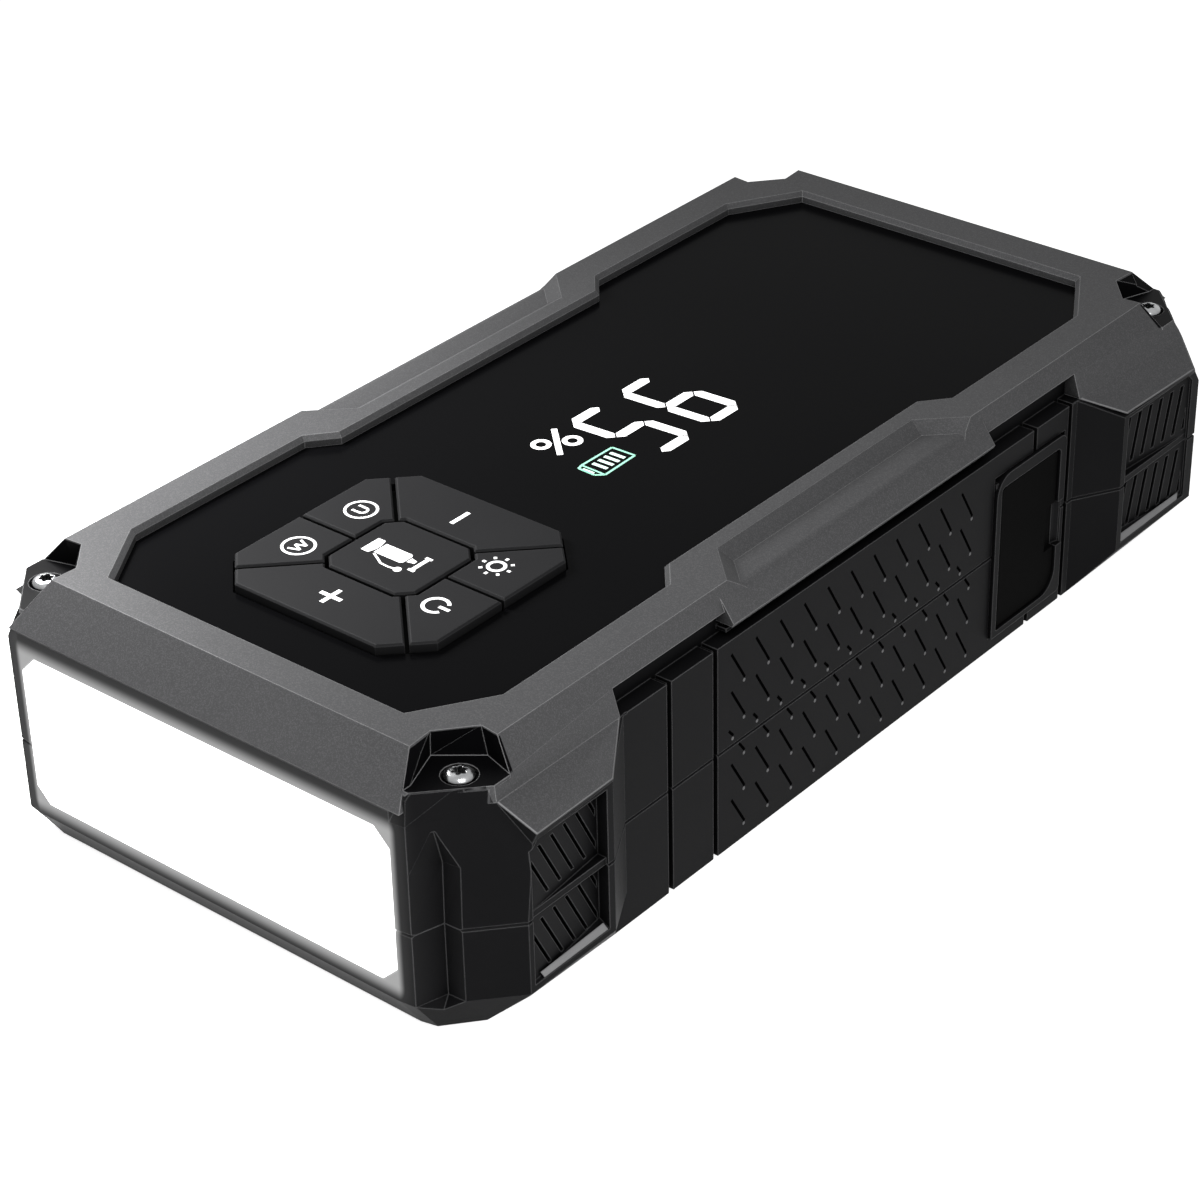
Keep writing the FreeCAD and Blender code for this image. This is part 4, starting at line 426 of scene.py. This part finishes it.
# %% Give every node its material
FINISHES = {
    "case_black": case_black, "frame_gray": frame_gray, "panel_black": panel_black,
    "key_rubber": key_rubber, "flap_rubber": flap_rubber, "foot_rubber": foot_rubber,
    "lens_white": lens_white, "white_plastic": nylon_white, "screw_steel": screw_steel,
    "brass": brass, "board_green": board_green, "cell_foil": cell_foil, "tray_black": tray_black,
    "strap_yellow": strap_yellow, "cast_metal": cast_metal, "motor_steel": motor_steel,
    "gear_nylon": nylon_white, "socket_blue": socket_blue, "lead_red": lead_red,
    "lead_black": lead_black, "display_dark": panel_black,
}
for subpart in frame["record"]["subparts"]:
    mesh = nodes[subpart["node"]].data
    mesh.materials.clear()
    mesh.materials.append(FINISHES[subpart["material_slot"]])

# %% [markdown]
# ## Drawing small marks
#
# The signs on the keys, the lit figures and the tread on the walls are flat marks. They are drawn in
# millimetres on a plane, and each stroke is a closed solid a few hundredths of a millimetre thick, so
# it can lie on the surface without flicker. Four functions are enough: a straight bar, a ring or arc
# made by spinning a small square, a filled outline that is extruded, and a round dot.

# %% Strokes
INK = 0.04
ARC_STEPS = 24
RING_STEPS = 32


def bar(marks, start, end, width):
    run = Vector(end) - Vector(start)
    turn = Matrix.Rotation(math.atan2(run.y, run.x), 4, "Z")
    size = Matrix.Diagonal((run.length, width, INK, 1.0))
    middle = (Vector(start) + Vector(end)) / 2
    bmesh.ops.create_cube(marks, size=1.0, matrix=Matrix.Translation((*middle, 0.0)) @ turn @ size)


def ring(marks, centre, radius, width, first=0.0, turn=360.0):
    middle = Vector((*centre, 0.0))
    corners = [(radius - width, -INK / 2), (radius, -INK / 2), (radius, INK / 2), (radius - width, INK / 2)]
    square = [marks.verts.new(middle + Vector((r, 0.0, z))) for r, z in corners]
    face = marks.faces.new(square)
    edges = list(face.edges)
    bmesh.ops.rotate(marks, verts=square, cent=middle, matrix=Matrix.Rotation(math.radians(first), 3, "Z"))
    if turn < 360.0:
        bmesh.ops.spin(marks, geom=square + edges + [face], cent=middle, axis=(0.0, 0.0, 1.0),
                       angle=math.radians(turn), steps=ARC_STEPS)
    else:
        bmesh.ops.delete(marks, geom=[face], context="FACES_ONLY")
        bmesh.ops.spin(marks, geom=square + edges, cent=middle, axis=(0.0, 0.0, 1.0), angle=math.tau,
                       steps=RING_STEPS, use_merge=True)


def filled(marks, outline):
    face = marks.faces.new([marks.verts.new((x, y, -INK / 2)) for x, y in outline])
    grown = bmesh.ops.extrude_face_region(marks, geom=[face])["geom"]
    top = [part for part in grown if isinstance(part, bmesh.types.BMVert)]
    bmesh.ops.translate(marks, verts=top, vec=(0.0, 0.0, INK))


def dot(marks, centre, radius, sides=12):
    bmesh.ops.create_cone(marks, cap_ends=True, segments=sides, radius1=radius, radius2=radius, depth=INK,
                          matrix=Matrix.Translation((*centre, 0.0)))


def finish_piece(name, marks, place, finish, body):
    bmesh.ops.transform(marks, matrix=place @ Matrix.Scale(MM, 4), verts=marks.verts)
    bmesh.ops.recalc_face_normals(marks, faces=marks.faces)
    mesh = bpy.data.meshes.new(name)
    marks.to_mesh(mesh)
    marks.free()
    mesh.materials.append(finish)
    piece = bpy.data.objects.new(name, mesh)
    bpy.context.scene.collection.objects.link(piece)
    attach(piece, body)
    return piece


# %% [markdown]
# The figures and the signs all read the same way: along -Y, with their tops towards +X. So a drawing
# is turned a quarter turn clockwise when it is laid on the top of the pack.

# %% Laying a drawing on the top
def on_top(x, y, z):
    return Matrix.Translation((x * MM, y * MM, z)) @ Matrix.Rotation(-math.pi / 2, 4, "Z")


SPECK_SHARE = 0.12


def glowing(name, colour, strength):
    material, tree, shader = blank(name)
    speck = add(tree, "TexNoise", Vector=object_place(tree), Scale=600.0)
    tint = mixed(tree, SPECK_SHARE, colour, mixed(tree, speck.outputs[0], colour, "#ffffff"))
    tree.links.new(tint, shader.inputs["Base Color"])
    tree.links.new(tint, shader.inputs["Emission Color"])
    shader.inputs["Emission Strength"].default_value = strength
    shader.inputs["Roughness"].default_value = 0.5
    shader.inputs["Specular IOR Level"].default_value = 0.1
    return material


lit_white = glowing("lit_white_segment", "#f4f4f4", 0.9)
lit_mint = glowing("lit_mint_segment", "#8fd3b6", 0.55)
lit_pale_mint = glowing("lit_pale_mint_bar", "#cfeee0", 0.7)
sign_white = glowing("backlit_key_print", "#eeeeee", 0.75)
print("lit finishes:", lit_white.name, sign_white.name)

# %% [markdown]
# ## The charge figures
#
# A lit display shows how full the pack is. Each figure is made of seven bars with pointed ends. Which
# bars are lit is written as letters, from a at the top, clockwise to f, and g in the middle. The
# figures lean a little, as on most such displays. After them come a percent sign and a battery.

# %% Seven-bar figures, percent sign and battery
FIGURE_HALF_WIDE = 3.85
FIGURE_HALF_HIGH = 9.6
FIGURE_BAR = 2.1
FIGURE_LEAN = 0.07
FIGURE_GAP = 0.2
FIGURE_Y = 0.5
PERCENT_BAR = 1.1
PERCENT_RADIUS = 1.9
PERCENT_RINGS = [(11.2, -4.9), (15.7, -8.4)]
FIGURES = {-12.4: "abcdfg", 1.8: "acdfg"}
BAR_ENDS = {
    "a": ((-1, 1), (1, 1)), "b": ((1, 1), (1, 0)), "c": ((1, 0), (1, -1)), "d": ((-1, -1), (1, -1)),
    "e": ((-1, 0), (-1, -1)), "f": ((-1, 1), (-1, 0)), "g": ((-1, 0), (1, 0)),
}
figures = bmesh.new()
for middle, lit in FIGURES.items():
    for letter in lit:
        ends = [Vector((i * FIGURE_HALF_WIDE, j * FIGURE_HALF_HIGH)) for i, j in BAR_ENDS[letter]]
        along = (ends[1] - ends[0]).normalized()
        across = Vector((-along.y, along.x)) * FIGURE_BAR / 2
        first = ends[0] + along * FIGURE_GAP
        last = ends[1] - along * FIGURE_GAP
        point = along * FIGURE_BAR / 2
        outline = [first, first + point - across, last - point - across, last, last - point + across,
                   first + point + across]
        filled(figures, [(middle + p.x - FIGURE_LEAN * p.y, FIGURE_Y + p.y) for p in outline])
bar(figures, (9.9, -10.3), (16.5, -3.3), PERCENT_BAR)
for centre in PERCENT_RINGS:
    ring(figures, centre, PERCENT_RADIUS, PERCENT_RADIUS / 2)
finish_piece("charge_figures", figures, on_top(0.0, 0.0, PANEL_TOP), lit_white, "case")

BATTERY = [(8.9, 2.2), (8.7, 7.2), (17.2, 7.5), (18.4, 6.1), (18.3, 2.4), (17.0, 2.1)]
BATTERY_LINE = 0.45
CHARGE_BARS = 4
CHARGE_PITCH = 1.6
battery = bmesh.new()
for start, end in zip(BATTERY, BATTERY[1:] + BATTERY[:1]):
    bar(battery, start, end, BATTERY_LINE)
bar(battery, (17.1, 2.3), (17.2, 7.3), 0.4)
finish_piece("battery_sign_outline", battery, on_top(0.0, 0.0, PANEL_TOP), lit_mint, "case")
charge = bmesh.new()
for i in range(CHARGE_BARS):
    bar(charge, (10.6 + CHARGE_PITCH * i, 3.2), (10.5 + CHARGE_PITCH * i, 6.4), 0.75)
bar(charge, (18.1, 3.1), (18.1, 5.6), 0.8)
finish_piece("battery_sign_bars", charge, on_top(0.0, 0.0, PANEL_TOP), lit_pale_mint, "case")
print("figures:", list(FIGURES.values()))

# %% [markdown]
# ## Signs on the keys
#
# Every key carries a small printed sign: plus, minus, a sun for the lamp, the power ring, two mode
# rings and, on the middle key, a tyre pump. Each is its own piece and rides on its key, so that it
# goes down when the key is pressed.


# %% Plus, minus, sun and power
SIGN_BAR = 0.85
SUN_RAYS = 8


def plus_sign(marks):
    bar(marks, (-2.3, 0.0), (2.3, 0.0), SIGN_BAR)
    bar(marks, (0.0, -2.3), (0.0, 2.3), SIGN_BAR)


def minus_sign(marks):
    bar(marks, (-2.25, 0.0), (2.25, 0.0), SIGN_BAR)


def sun_sign(marks):
    ring(marks, (0.0, 0.0), 1.75, 0.6)
    for i in range(SUN_RAYS):
        angle = math.tau * i / SUN_RAYS
        ray = Vector((math.cos(angle), math.sin(angle)))
        bar(marks, ray * 2.35, ray * 3.0, 0.55)


def power_sign(marks):
    ring(marks, (0.0, 0.0), 2.5, 0.65, first=125.0, turn=290.0)
    bar(marks, (0.0, 0.7), (0.0, 2.9), 0.7)


# %% [markdown]
# The two mode signs are a ring round a plain shape: an arch and a zigzag. The pump is a handle, a
# barrel, a foot and a hose with a round end.


# %% Modes and pump
MODE_RADIUS = 3.05
MODE_LINE = 0.5


def arch_mode_sign(marks):
    ring(marks, (0.0, 0.0), MODE_RADIUS, MODE_LINE)
    ring(marks, (0.0, 0.3), 1.15, MODE_LINE, turn=180.0)
    for x in (-0.9, 0.9):
        bar(marks, (x, 0.35), (x, -1.3), MODE_LINE)


def zigzag_mode_sign(marks):
    ring(marks, (0.0, 0.0), MODE_RADIUS, MODE_LINE)
    zigzag = [(-1.6, -1.0), (-0.8, 1.1), (0.0, -0.8), (0.8, 1.1), (1.6, -1.0)]
    for start, end in zip(zigzag, zigzag[1:]):
        bar(marks, start, end, 0.45)


def pump_sign(marks):
    filled(marks, [(-2.2, -6.8), (-2.2, -5.2), (-0.6, -4.7), (0.6, -4.7), (2.2, -5.2), (2.2, -6.8)])
    filled(marks, [(-1.6, -4.4), (-1.6, 1.3), (-1.1, 1.8), (1.1, 1.8), (1.6, 1.3), (1.6, -4.4)])
    filled(marks, [(-0.7, 2.1), (-0.4, 3.5), (0.4, 3.5), (0.7, 2.1)])
    filled(marks, [(-2.5, 3.8), (-2.5, 5.2), (-1.9, 5.2), (-1.9, 4.9), (1.9, 4.9), (1.9, 5.2), (2.5, 5.2),
                   (2.5, 3.8), (1.9, 3.8), (1.9, 4.1), (-1.9, 4.1), (-1.9, 3.8)])
    hose = [(1.9, -4.1), (2.7, -2.6), (3.6, -1.0), (3.7, 0.8), (3.5, 2.0)]
    for start, end in zip(hose, hose[1:]):
        bar(marks, start, end, 0.4)
    dot(marks, (3.4, 2.5), 0.75)


KEY_SIGNS = {
    "key_plus": (plus_sign, -0.3, -77.6), "key_minus": (minus_sign, -0.5, -45.9),
    "key_light": (sun_sign, 14.8, -54.1), "key_power": (power_sign, 15.1, -69.3),
    "key_mode_a": (zigzag_mode_sign, -15.7, -69.2), "key_mode_b": (arch_mode_sign, -15.7, -54.0),
    "key_pump": (pump_sign, 0.0, -61.4),
}
for key, (draw, x, y) in KEY_SIGNS.items():
    marks = bmesh.new()
    draw(marks)
    finish_piece(key.replace("key_", "") + "_sign", marks, on_top(x, y, KEY_TOP), sign_white, key)
print("key signs:", list(KEY_SIGNS))

# %% [markdown]
# ## The tread on the walls
#
# Slanting cuts cross the long walls in rows, like the tread of a tyre, and each ends in a small bright
# dot. Both are drawn as flat marks: each cut as a near-black strip of painted shade, each dot as a pale
# painted highlight. The wall's place is found with a ray that is shot at the CAD mesh from the side.
# Each row has the height of its dots, the height where its cuts must stop and a shift along the wall.
# The rows just above and below the case's parting line are short. A copy of the marks is turned half
# round for the wall behind.


# %% Where a ray from the side meets a node
FAR_OUTSIDE = 200.0


def wall_from_side(node, y, z):
    mesh = nodes[node].data
    surface = BVHTree.FromPolygons([v.co for v in mesh.vertices], [p.vertices for p in mesh.polygons])
    return surface.ray_cast(Vector((FAR_OUTSIDE, y, z)) * MM, Vector((-1.0, 0.0, 0.0)))[0].x


def on_wall(x, turned=0.0):
    standing = Matrix(((0.0, 0.0, 1.0, x), (1.0, 0.0, 0.0, 0.0), (0.0, 1.0, 0.0, 0.0), (0.0, 0.0, 0.0, 1.0)))
    return Matrix.Rotation(turned, 4, "Z") @ standing


# %% Cuts drawn as painted shade and end dots drawn as painted highlights
TREAD_PITCH = 6.67
TREAD_FIRST = -34.7
TREAD_CUT = (-3.4, 6.6)
TREAD_END = (0.2, 0.5)
TREAD_WIDTH = 0.5
TREAD_COUNT = 11
DIMPLE_RADIUS = 0.36
PARTING = 21.1
FREE = 99.0
TREAD_ROWS = {32.5: (FREE, 0.0), 25.2: (FREE, 0.0), 22.5: (24.4, -3.1), 18.0: (PARTING - 0.5, 0.0),
              10.8: (FREE, 0.0), 3.6: (FREE, 0.0)}
cuts, dimples = bmesh.new(), bmesh.new()
for z, (ceiling, shift) in TREAD_ROWS.items():
    for i in range(TREAD_COUNT):
        y = TREAD_FIRST + shift + TREAD_PITCH * i
        rise = min(TREAD_CUT[1], ceiling - z)
        run = TREAD_CUT[0] * rise / TREAD_CUT[1]
        bar(cuts, (y + run, z + rise), (y + TREAD_END[0], z + TREAD_END[1]), TREAD_WIDTH)
        dot(dimples, (y, z), DIMPLE_RADIUS, 8)
side_x = wall_from_side("middle_case", 0.0, 30.0)
# Painted shade and painted highlight: the cuts are near-black strips for the shade inside them, and the pale
# dots are highlights at their ends.
cut_shade = moulded("painted_cut_shade", "#020202", "#040404", 0.8, shine=0.0)
dimple_highlight = moulded("painted_dimple_highlight", "#5a5a5b", "#6a6a6b", 0.5, shine=0.1)
for name, marks, finish in (("tread_cuts", cuts, cut_shade), ("tread_dimples", dimples, dimple_highlight)):
    copy = marks.copy()
    finish_piece(name + "_right", marks, on_wall(side_x), finish, "case")
    finish_piece(name + "_left", copy, on_wall(side_x, math.pi), finish, "case")
print("wall at", round(side_x, 5))

# %% [markdown]
# ## Vent sills
#
# Each vent ends below in a sloping sill that looks up and catches the light, so it shows as a pale
# strip under the dark slots. That light is painted: a thin pale strip is laid there, from just inside
# the guard's wall at the bottom to just under the slots. The vent is deepest at its rear, so the strip
# is wider there.

# %% Painted light: pale strips on the sills
VENT_WALL = 56.2
VENT_REAR = 76.4
VENT_ENDS = {-1: 94.6, 1: 99.3}
STRIP_OUT = VENT_WALL - 0.1
STRIP_REAR_IN = VENT_WALL - 1.1
STRIP_FRONT_IN = VENT_WALL - 0.4
STRIP_REAR = VENT_REAR + 0.4
STRIP_LOW_BACK = 2.2
STRIP_HIGH_BACK = 1.6
STRIP_Z = (8.7, 9.55, 9.95)
STRIP_THICK = 0.05
# Painted light: the pale strip stands for the light that the sill catches.
sill_light = moulded("painted_sill_light", "#777778", "#858586", 0.6, shine=0.1)
sills = bmesh.new()
for end, front in VENT_ENDS.items():
    for side in (-1, 1):
        corners = [(STRIP_OUT, STRIP_REAR, STRIP_Z[0]), (STRIP_OUT, front - STRIP_LOW_BACK, STRIP_Z[0]),
                   (STRIP_FRONT_IN, front - STRIP_HIGH_BACK, STRIP_Z[2]),
                   (STRIP_REAR_IN, STRIP_REAR, STRIP_Z[1])]
        strip = [sills.verts.new((side * x, end * y, z)) for x, y, z in corners]
        grown = bmesh.ops.extrude_face_region(sills, geom=[sills.faces.new(strip)])["geom"]
        top = [part for part in grown if isinstance(part, bmesh.types.BMVert)]
        bmesh.ops.translate(sills, verts=top, vec=(side * STRIP_THICK, 0.0, STRIP_THICK))
finish_piece("vent_sill_strips", sills, Matrix.Identity(4), sill_light, "case")
print("sill strips from y", STRIP_REAR)

# %% [markdown]
# ## Corner screws
#
# Four plated screws hold the frame. The CAD screw has a plain many-sided head, so each is made again
# here: a profile is spun into a domed head, and a six-lobed recess is sunk in its middle by moving
# the inner ring of points and extruding it down.


# %% Screws with a six-lobed recess
SCREW_STEPS = 36
RECESS = 1.15
RECESS_DEPTH = 1.1
LOBES = 6
LOBE = 0.2
HEAD_RADIUS = 2.55
HEAD_FOOT = -1.8
SHANK_RADIUS = 1.5
SHANK_FOOT = -17.6
WELD = 1e-4
SHARP = math.radians(40.0)
DOME = [(RECESS + LOBE, 0.0), (1.7, -0.06), (2.15, -0.3), (2.45, -0.75), (HEAD_RADIUS, -1.3),
        (HEAD_RADIUS, HEAD_FOOT), (SHANK_RADIUS, HEAD_FOOT), (SHANK_RADIUS, SHANK_FOOT), (0.0, SHANK_FOOT)]
head_high = high("corner_screws")
head_x = head_high.x / MM - HEAD_RADIUS
head_y = head_high.y / MM - HEAD_RADIUS
screws = bmesh.new()
for i in (-1, 1):
    for j in (-1, 1):
        middle = Vector((i * head_x, j * head_y, head_high.z / MM))
        profile = [screws.verts.new(middle + Vector((r, 0.0, z))) for r, z in DOME]
        edges = [screws.edges.new(pair) for pair in zip(profile, profile[1:])]
        bmesh.ops.spin(screws, geom=profile + edges, cent=middle, axis=(0.0, 0.0, 1.0), angle=math.tau,
                       steps=SCREW_STEPS, use_merge=True)
        bmesh.ops.remove_doubles(screws, verts=screws.verts, dist=WELD)
        inner = [e for e in screws.edges if e.is_boundary]
        rim = {v for e in inner for v in e.verts}
        for v in rim:
            angle = math.atan2(v.co.y - middle.y, v.co.x - middle.x)
            out = Vector((math.cos(angle), math.sin(angle), 0.0))
            v.co = middle + out * (RECESS + LOBE * math.cos(LOBES * angle))
        sunk = bmesh.ops.extrude_edge_only(screws, edges=inner)["geom"]
        floor_verts = [part for part in sunk if isinstance(part, bmesh.types.BMVert)]
        bmesh.ops.translate(screws, verts=floor_verts, vec=(0.0, 0.0, -RECESS_DEPTH))
        bmesh.ops.contextual_create(screws, geom=[e for e in screws.edges if e.is_boundary])
piece = finish_piece("six_lobe_screws", screws, Matrix.Identity(4), screw_steel, "case")
piece.data.shade_smooth()
piece.data.set_sharp_from_angle(angle=SHARP)
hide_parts("corner_screws")
print("screws at", round(head_x, 2), round(head_y, 2))

# %% [markdown]
# ## The studio
#
# The photograph is a plain packshot, white all round. The camera's place was solved from the edges
# of the case, and its small roll is kept.

# %% Camera
camera_data = bpy.data.cameras.new("camera")
camera = bpy.data.objects.new("camera", camera_data)
bpy.context.scene.collection.objects.link(camera)
bpy.context.scene.camera = camera
camera_data.sensor_width = 36.0
camera_data.lens = 97.07
camera_data.clip_start = 0.01
bpy.context.scene.view_settings.view_transform = "Standard"
TARGET = Vector((6.742, -18.506, 23.440)) * MM
AZIMUTH = math.radians(40.224)
ELEVATION = math.radians(31.456)
ROLL = math.radians(-1.354)
DISTANCE = 572.395 * MM
back = Vector((math.sin(AZIMUTH) * math.cos(ELEVATION), -math.cos(AZIMUTH) * math.cos(ELEVATION),
               math.sin(ELEVATION)))
right = Vector((math.cos(AZIMUTH), math.sin(AZIMUTH), 0.0))
up = back.cross(right)
right_rolled = math.cos(ROLL) * right + math.sin(ROLL) * up
up_rolled = math.cos(ROLL) * up - math.sin(ROLL) * right
camera.matrix_world = Matrix((right_rolled, up_rolled, back)).transposed().to_4x4()
camera.location = TARGET + DISTANCE * back
print("camera at", [round(v, 3) for v in camera.location])

# %% [markdown]
# The floor is pale and shows white to the camera. It keeps the shadow of the object, and gloss and
# glass see the same white as the camera does.

# %% Floor and world
FLOOR_SIZE = 8.0
FLOOR_DROP = 0.5 * MM
FLOOR_GLOW = 0.8
ROOM_LIGHT = 0.16
bpy.ops.mesh.primitive_plane_add(size=FLOOR_SIZE, location=(0.0, 0.0, -FLOOR_DROP))
floor = bpy.context.object
floor.name = "floor"
floor_white, tree, shader = blank("white_floor")


def seen_directly(tree):
    ray = tree.nodes.new("ShaderNodeLightPath")
    seen = add(tree, "Math", {"operation": "MAXIMUM"}, _0=ray.outputs["Is Camera Ray"],
               _1=ray.outputs["Is Transmission Ray"])
    return add(tree, "Math", {"operation": "MAXIMUM"}, _0=seen.outputs[0],
               _1=ray.outputs["Is Glossy Ray"]).outputs[0]


paper = add(tree, "TexNoise", Vector=object_place(tree), Scale=900.0)
tree.links.new(mixed(tree, paper.outputs[0], "#f8f8f8", "#fcfcfc"), shader.inputs["Base Color"])
lift = mixed(tree, seen_directly(tree), "#000000", "#ffffff")
tree.links.new(lift, shader.inputs["Emission Color"])
shader.inputs["Emission Strength"].default_value = FLOOR_GLOW
shader.inputs["Roughness"].default_value = 1.0
shader.inputs["Specular IOR Level"].default_value = 0.0
floor.data.materials.append(floor_white)

world = bpy.data.worlds.new("white_room")
bpy.context.scene.world = world
world.use_nodes = True
tree = world.node_tree
tree.nodes.clear()
plain = add(tree, "Background", Color=(1.0, 1.0, 1.0, 1.0), Strength=ROOM_LIGHT)
white = add(tree, "Background", Color=(1.0, 1.0, 1.0, 1.0), Strength=1.0)
mix = add(tree, "MixShader", None, _0=seen_directly(tree), _1=plain.outputs[0], _2=white.outputs[0])
out = tree.nodes.new("ShaderNodeOutputWorld")
tree.links.new(mix.outputs[0], out.inputs["Surface"])
print("floor and world are white to the camera, to gloss and to glass")

# %% [markdown]
# Two square lamps light the pack. A small one hangs close over the left of the lamp end, so its light
# fades along the frame, and a larger one stands higher at the right front.


# %% Soft lamps
def softbox(name, place, aim, size, power):
    data = bpy.data.lights.new(name, "AREA")
    data.shape = "SQUARE"
    data.size = size
    data.energy = power
    lamp = bpy.data.objects.new(name, data)
    bpy.context.scene.collection.objects.link(lamp)
    lamp.location = place
    lamp.visible_camera = False
    direction = Vector(aim) - Vector(place)
    lamp.rotation_euler = direction.to_track_quat("-Z", "Y").to_euler()


softbox("left_light", (-0.11, -0.07, 0.135), (-0.04, -0.09, 0.05), 0.06, 0.46)
softbox("right_light", (0.33, -0.27, 0.36), (0.0, -0.04, 0.02), 0.3, 2.5)
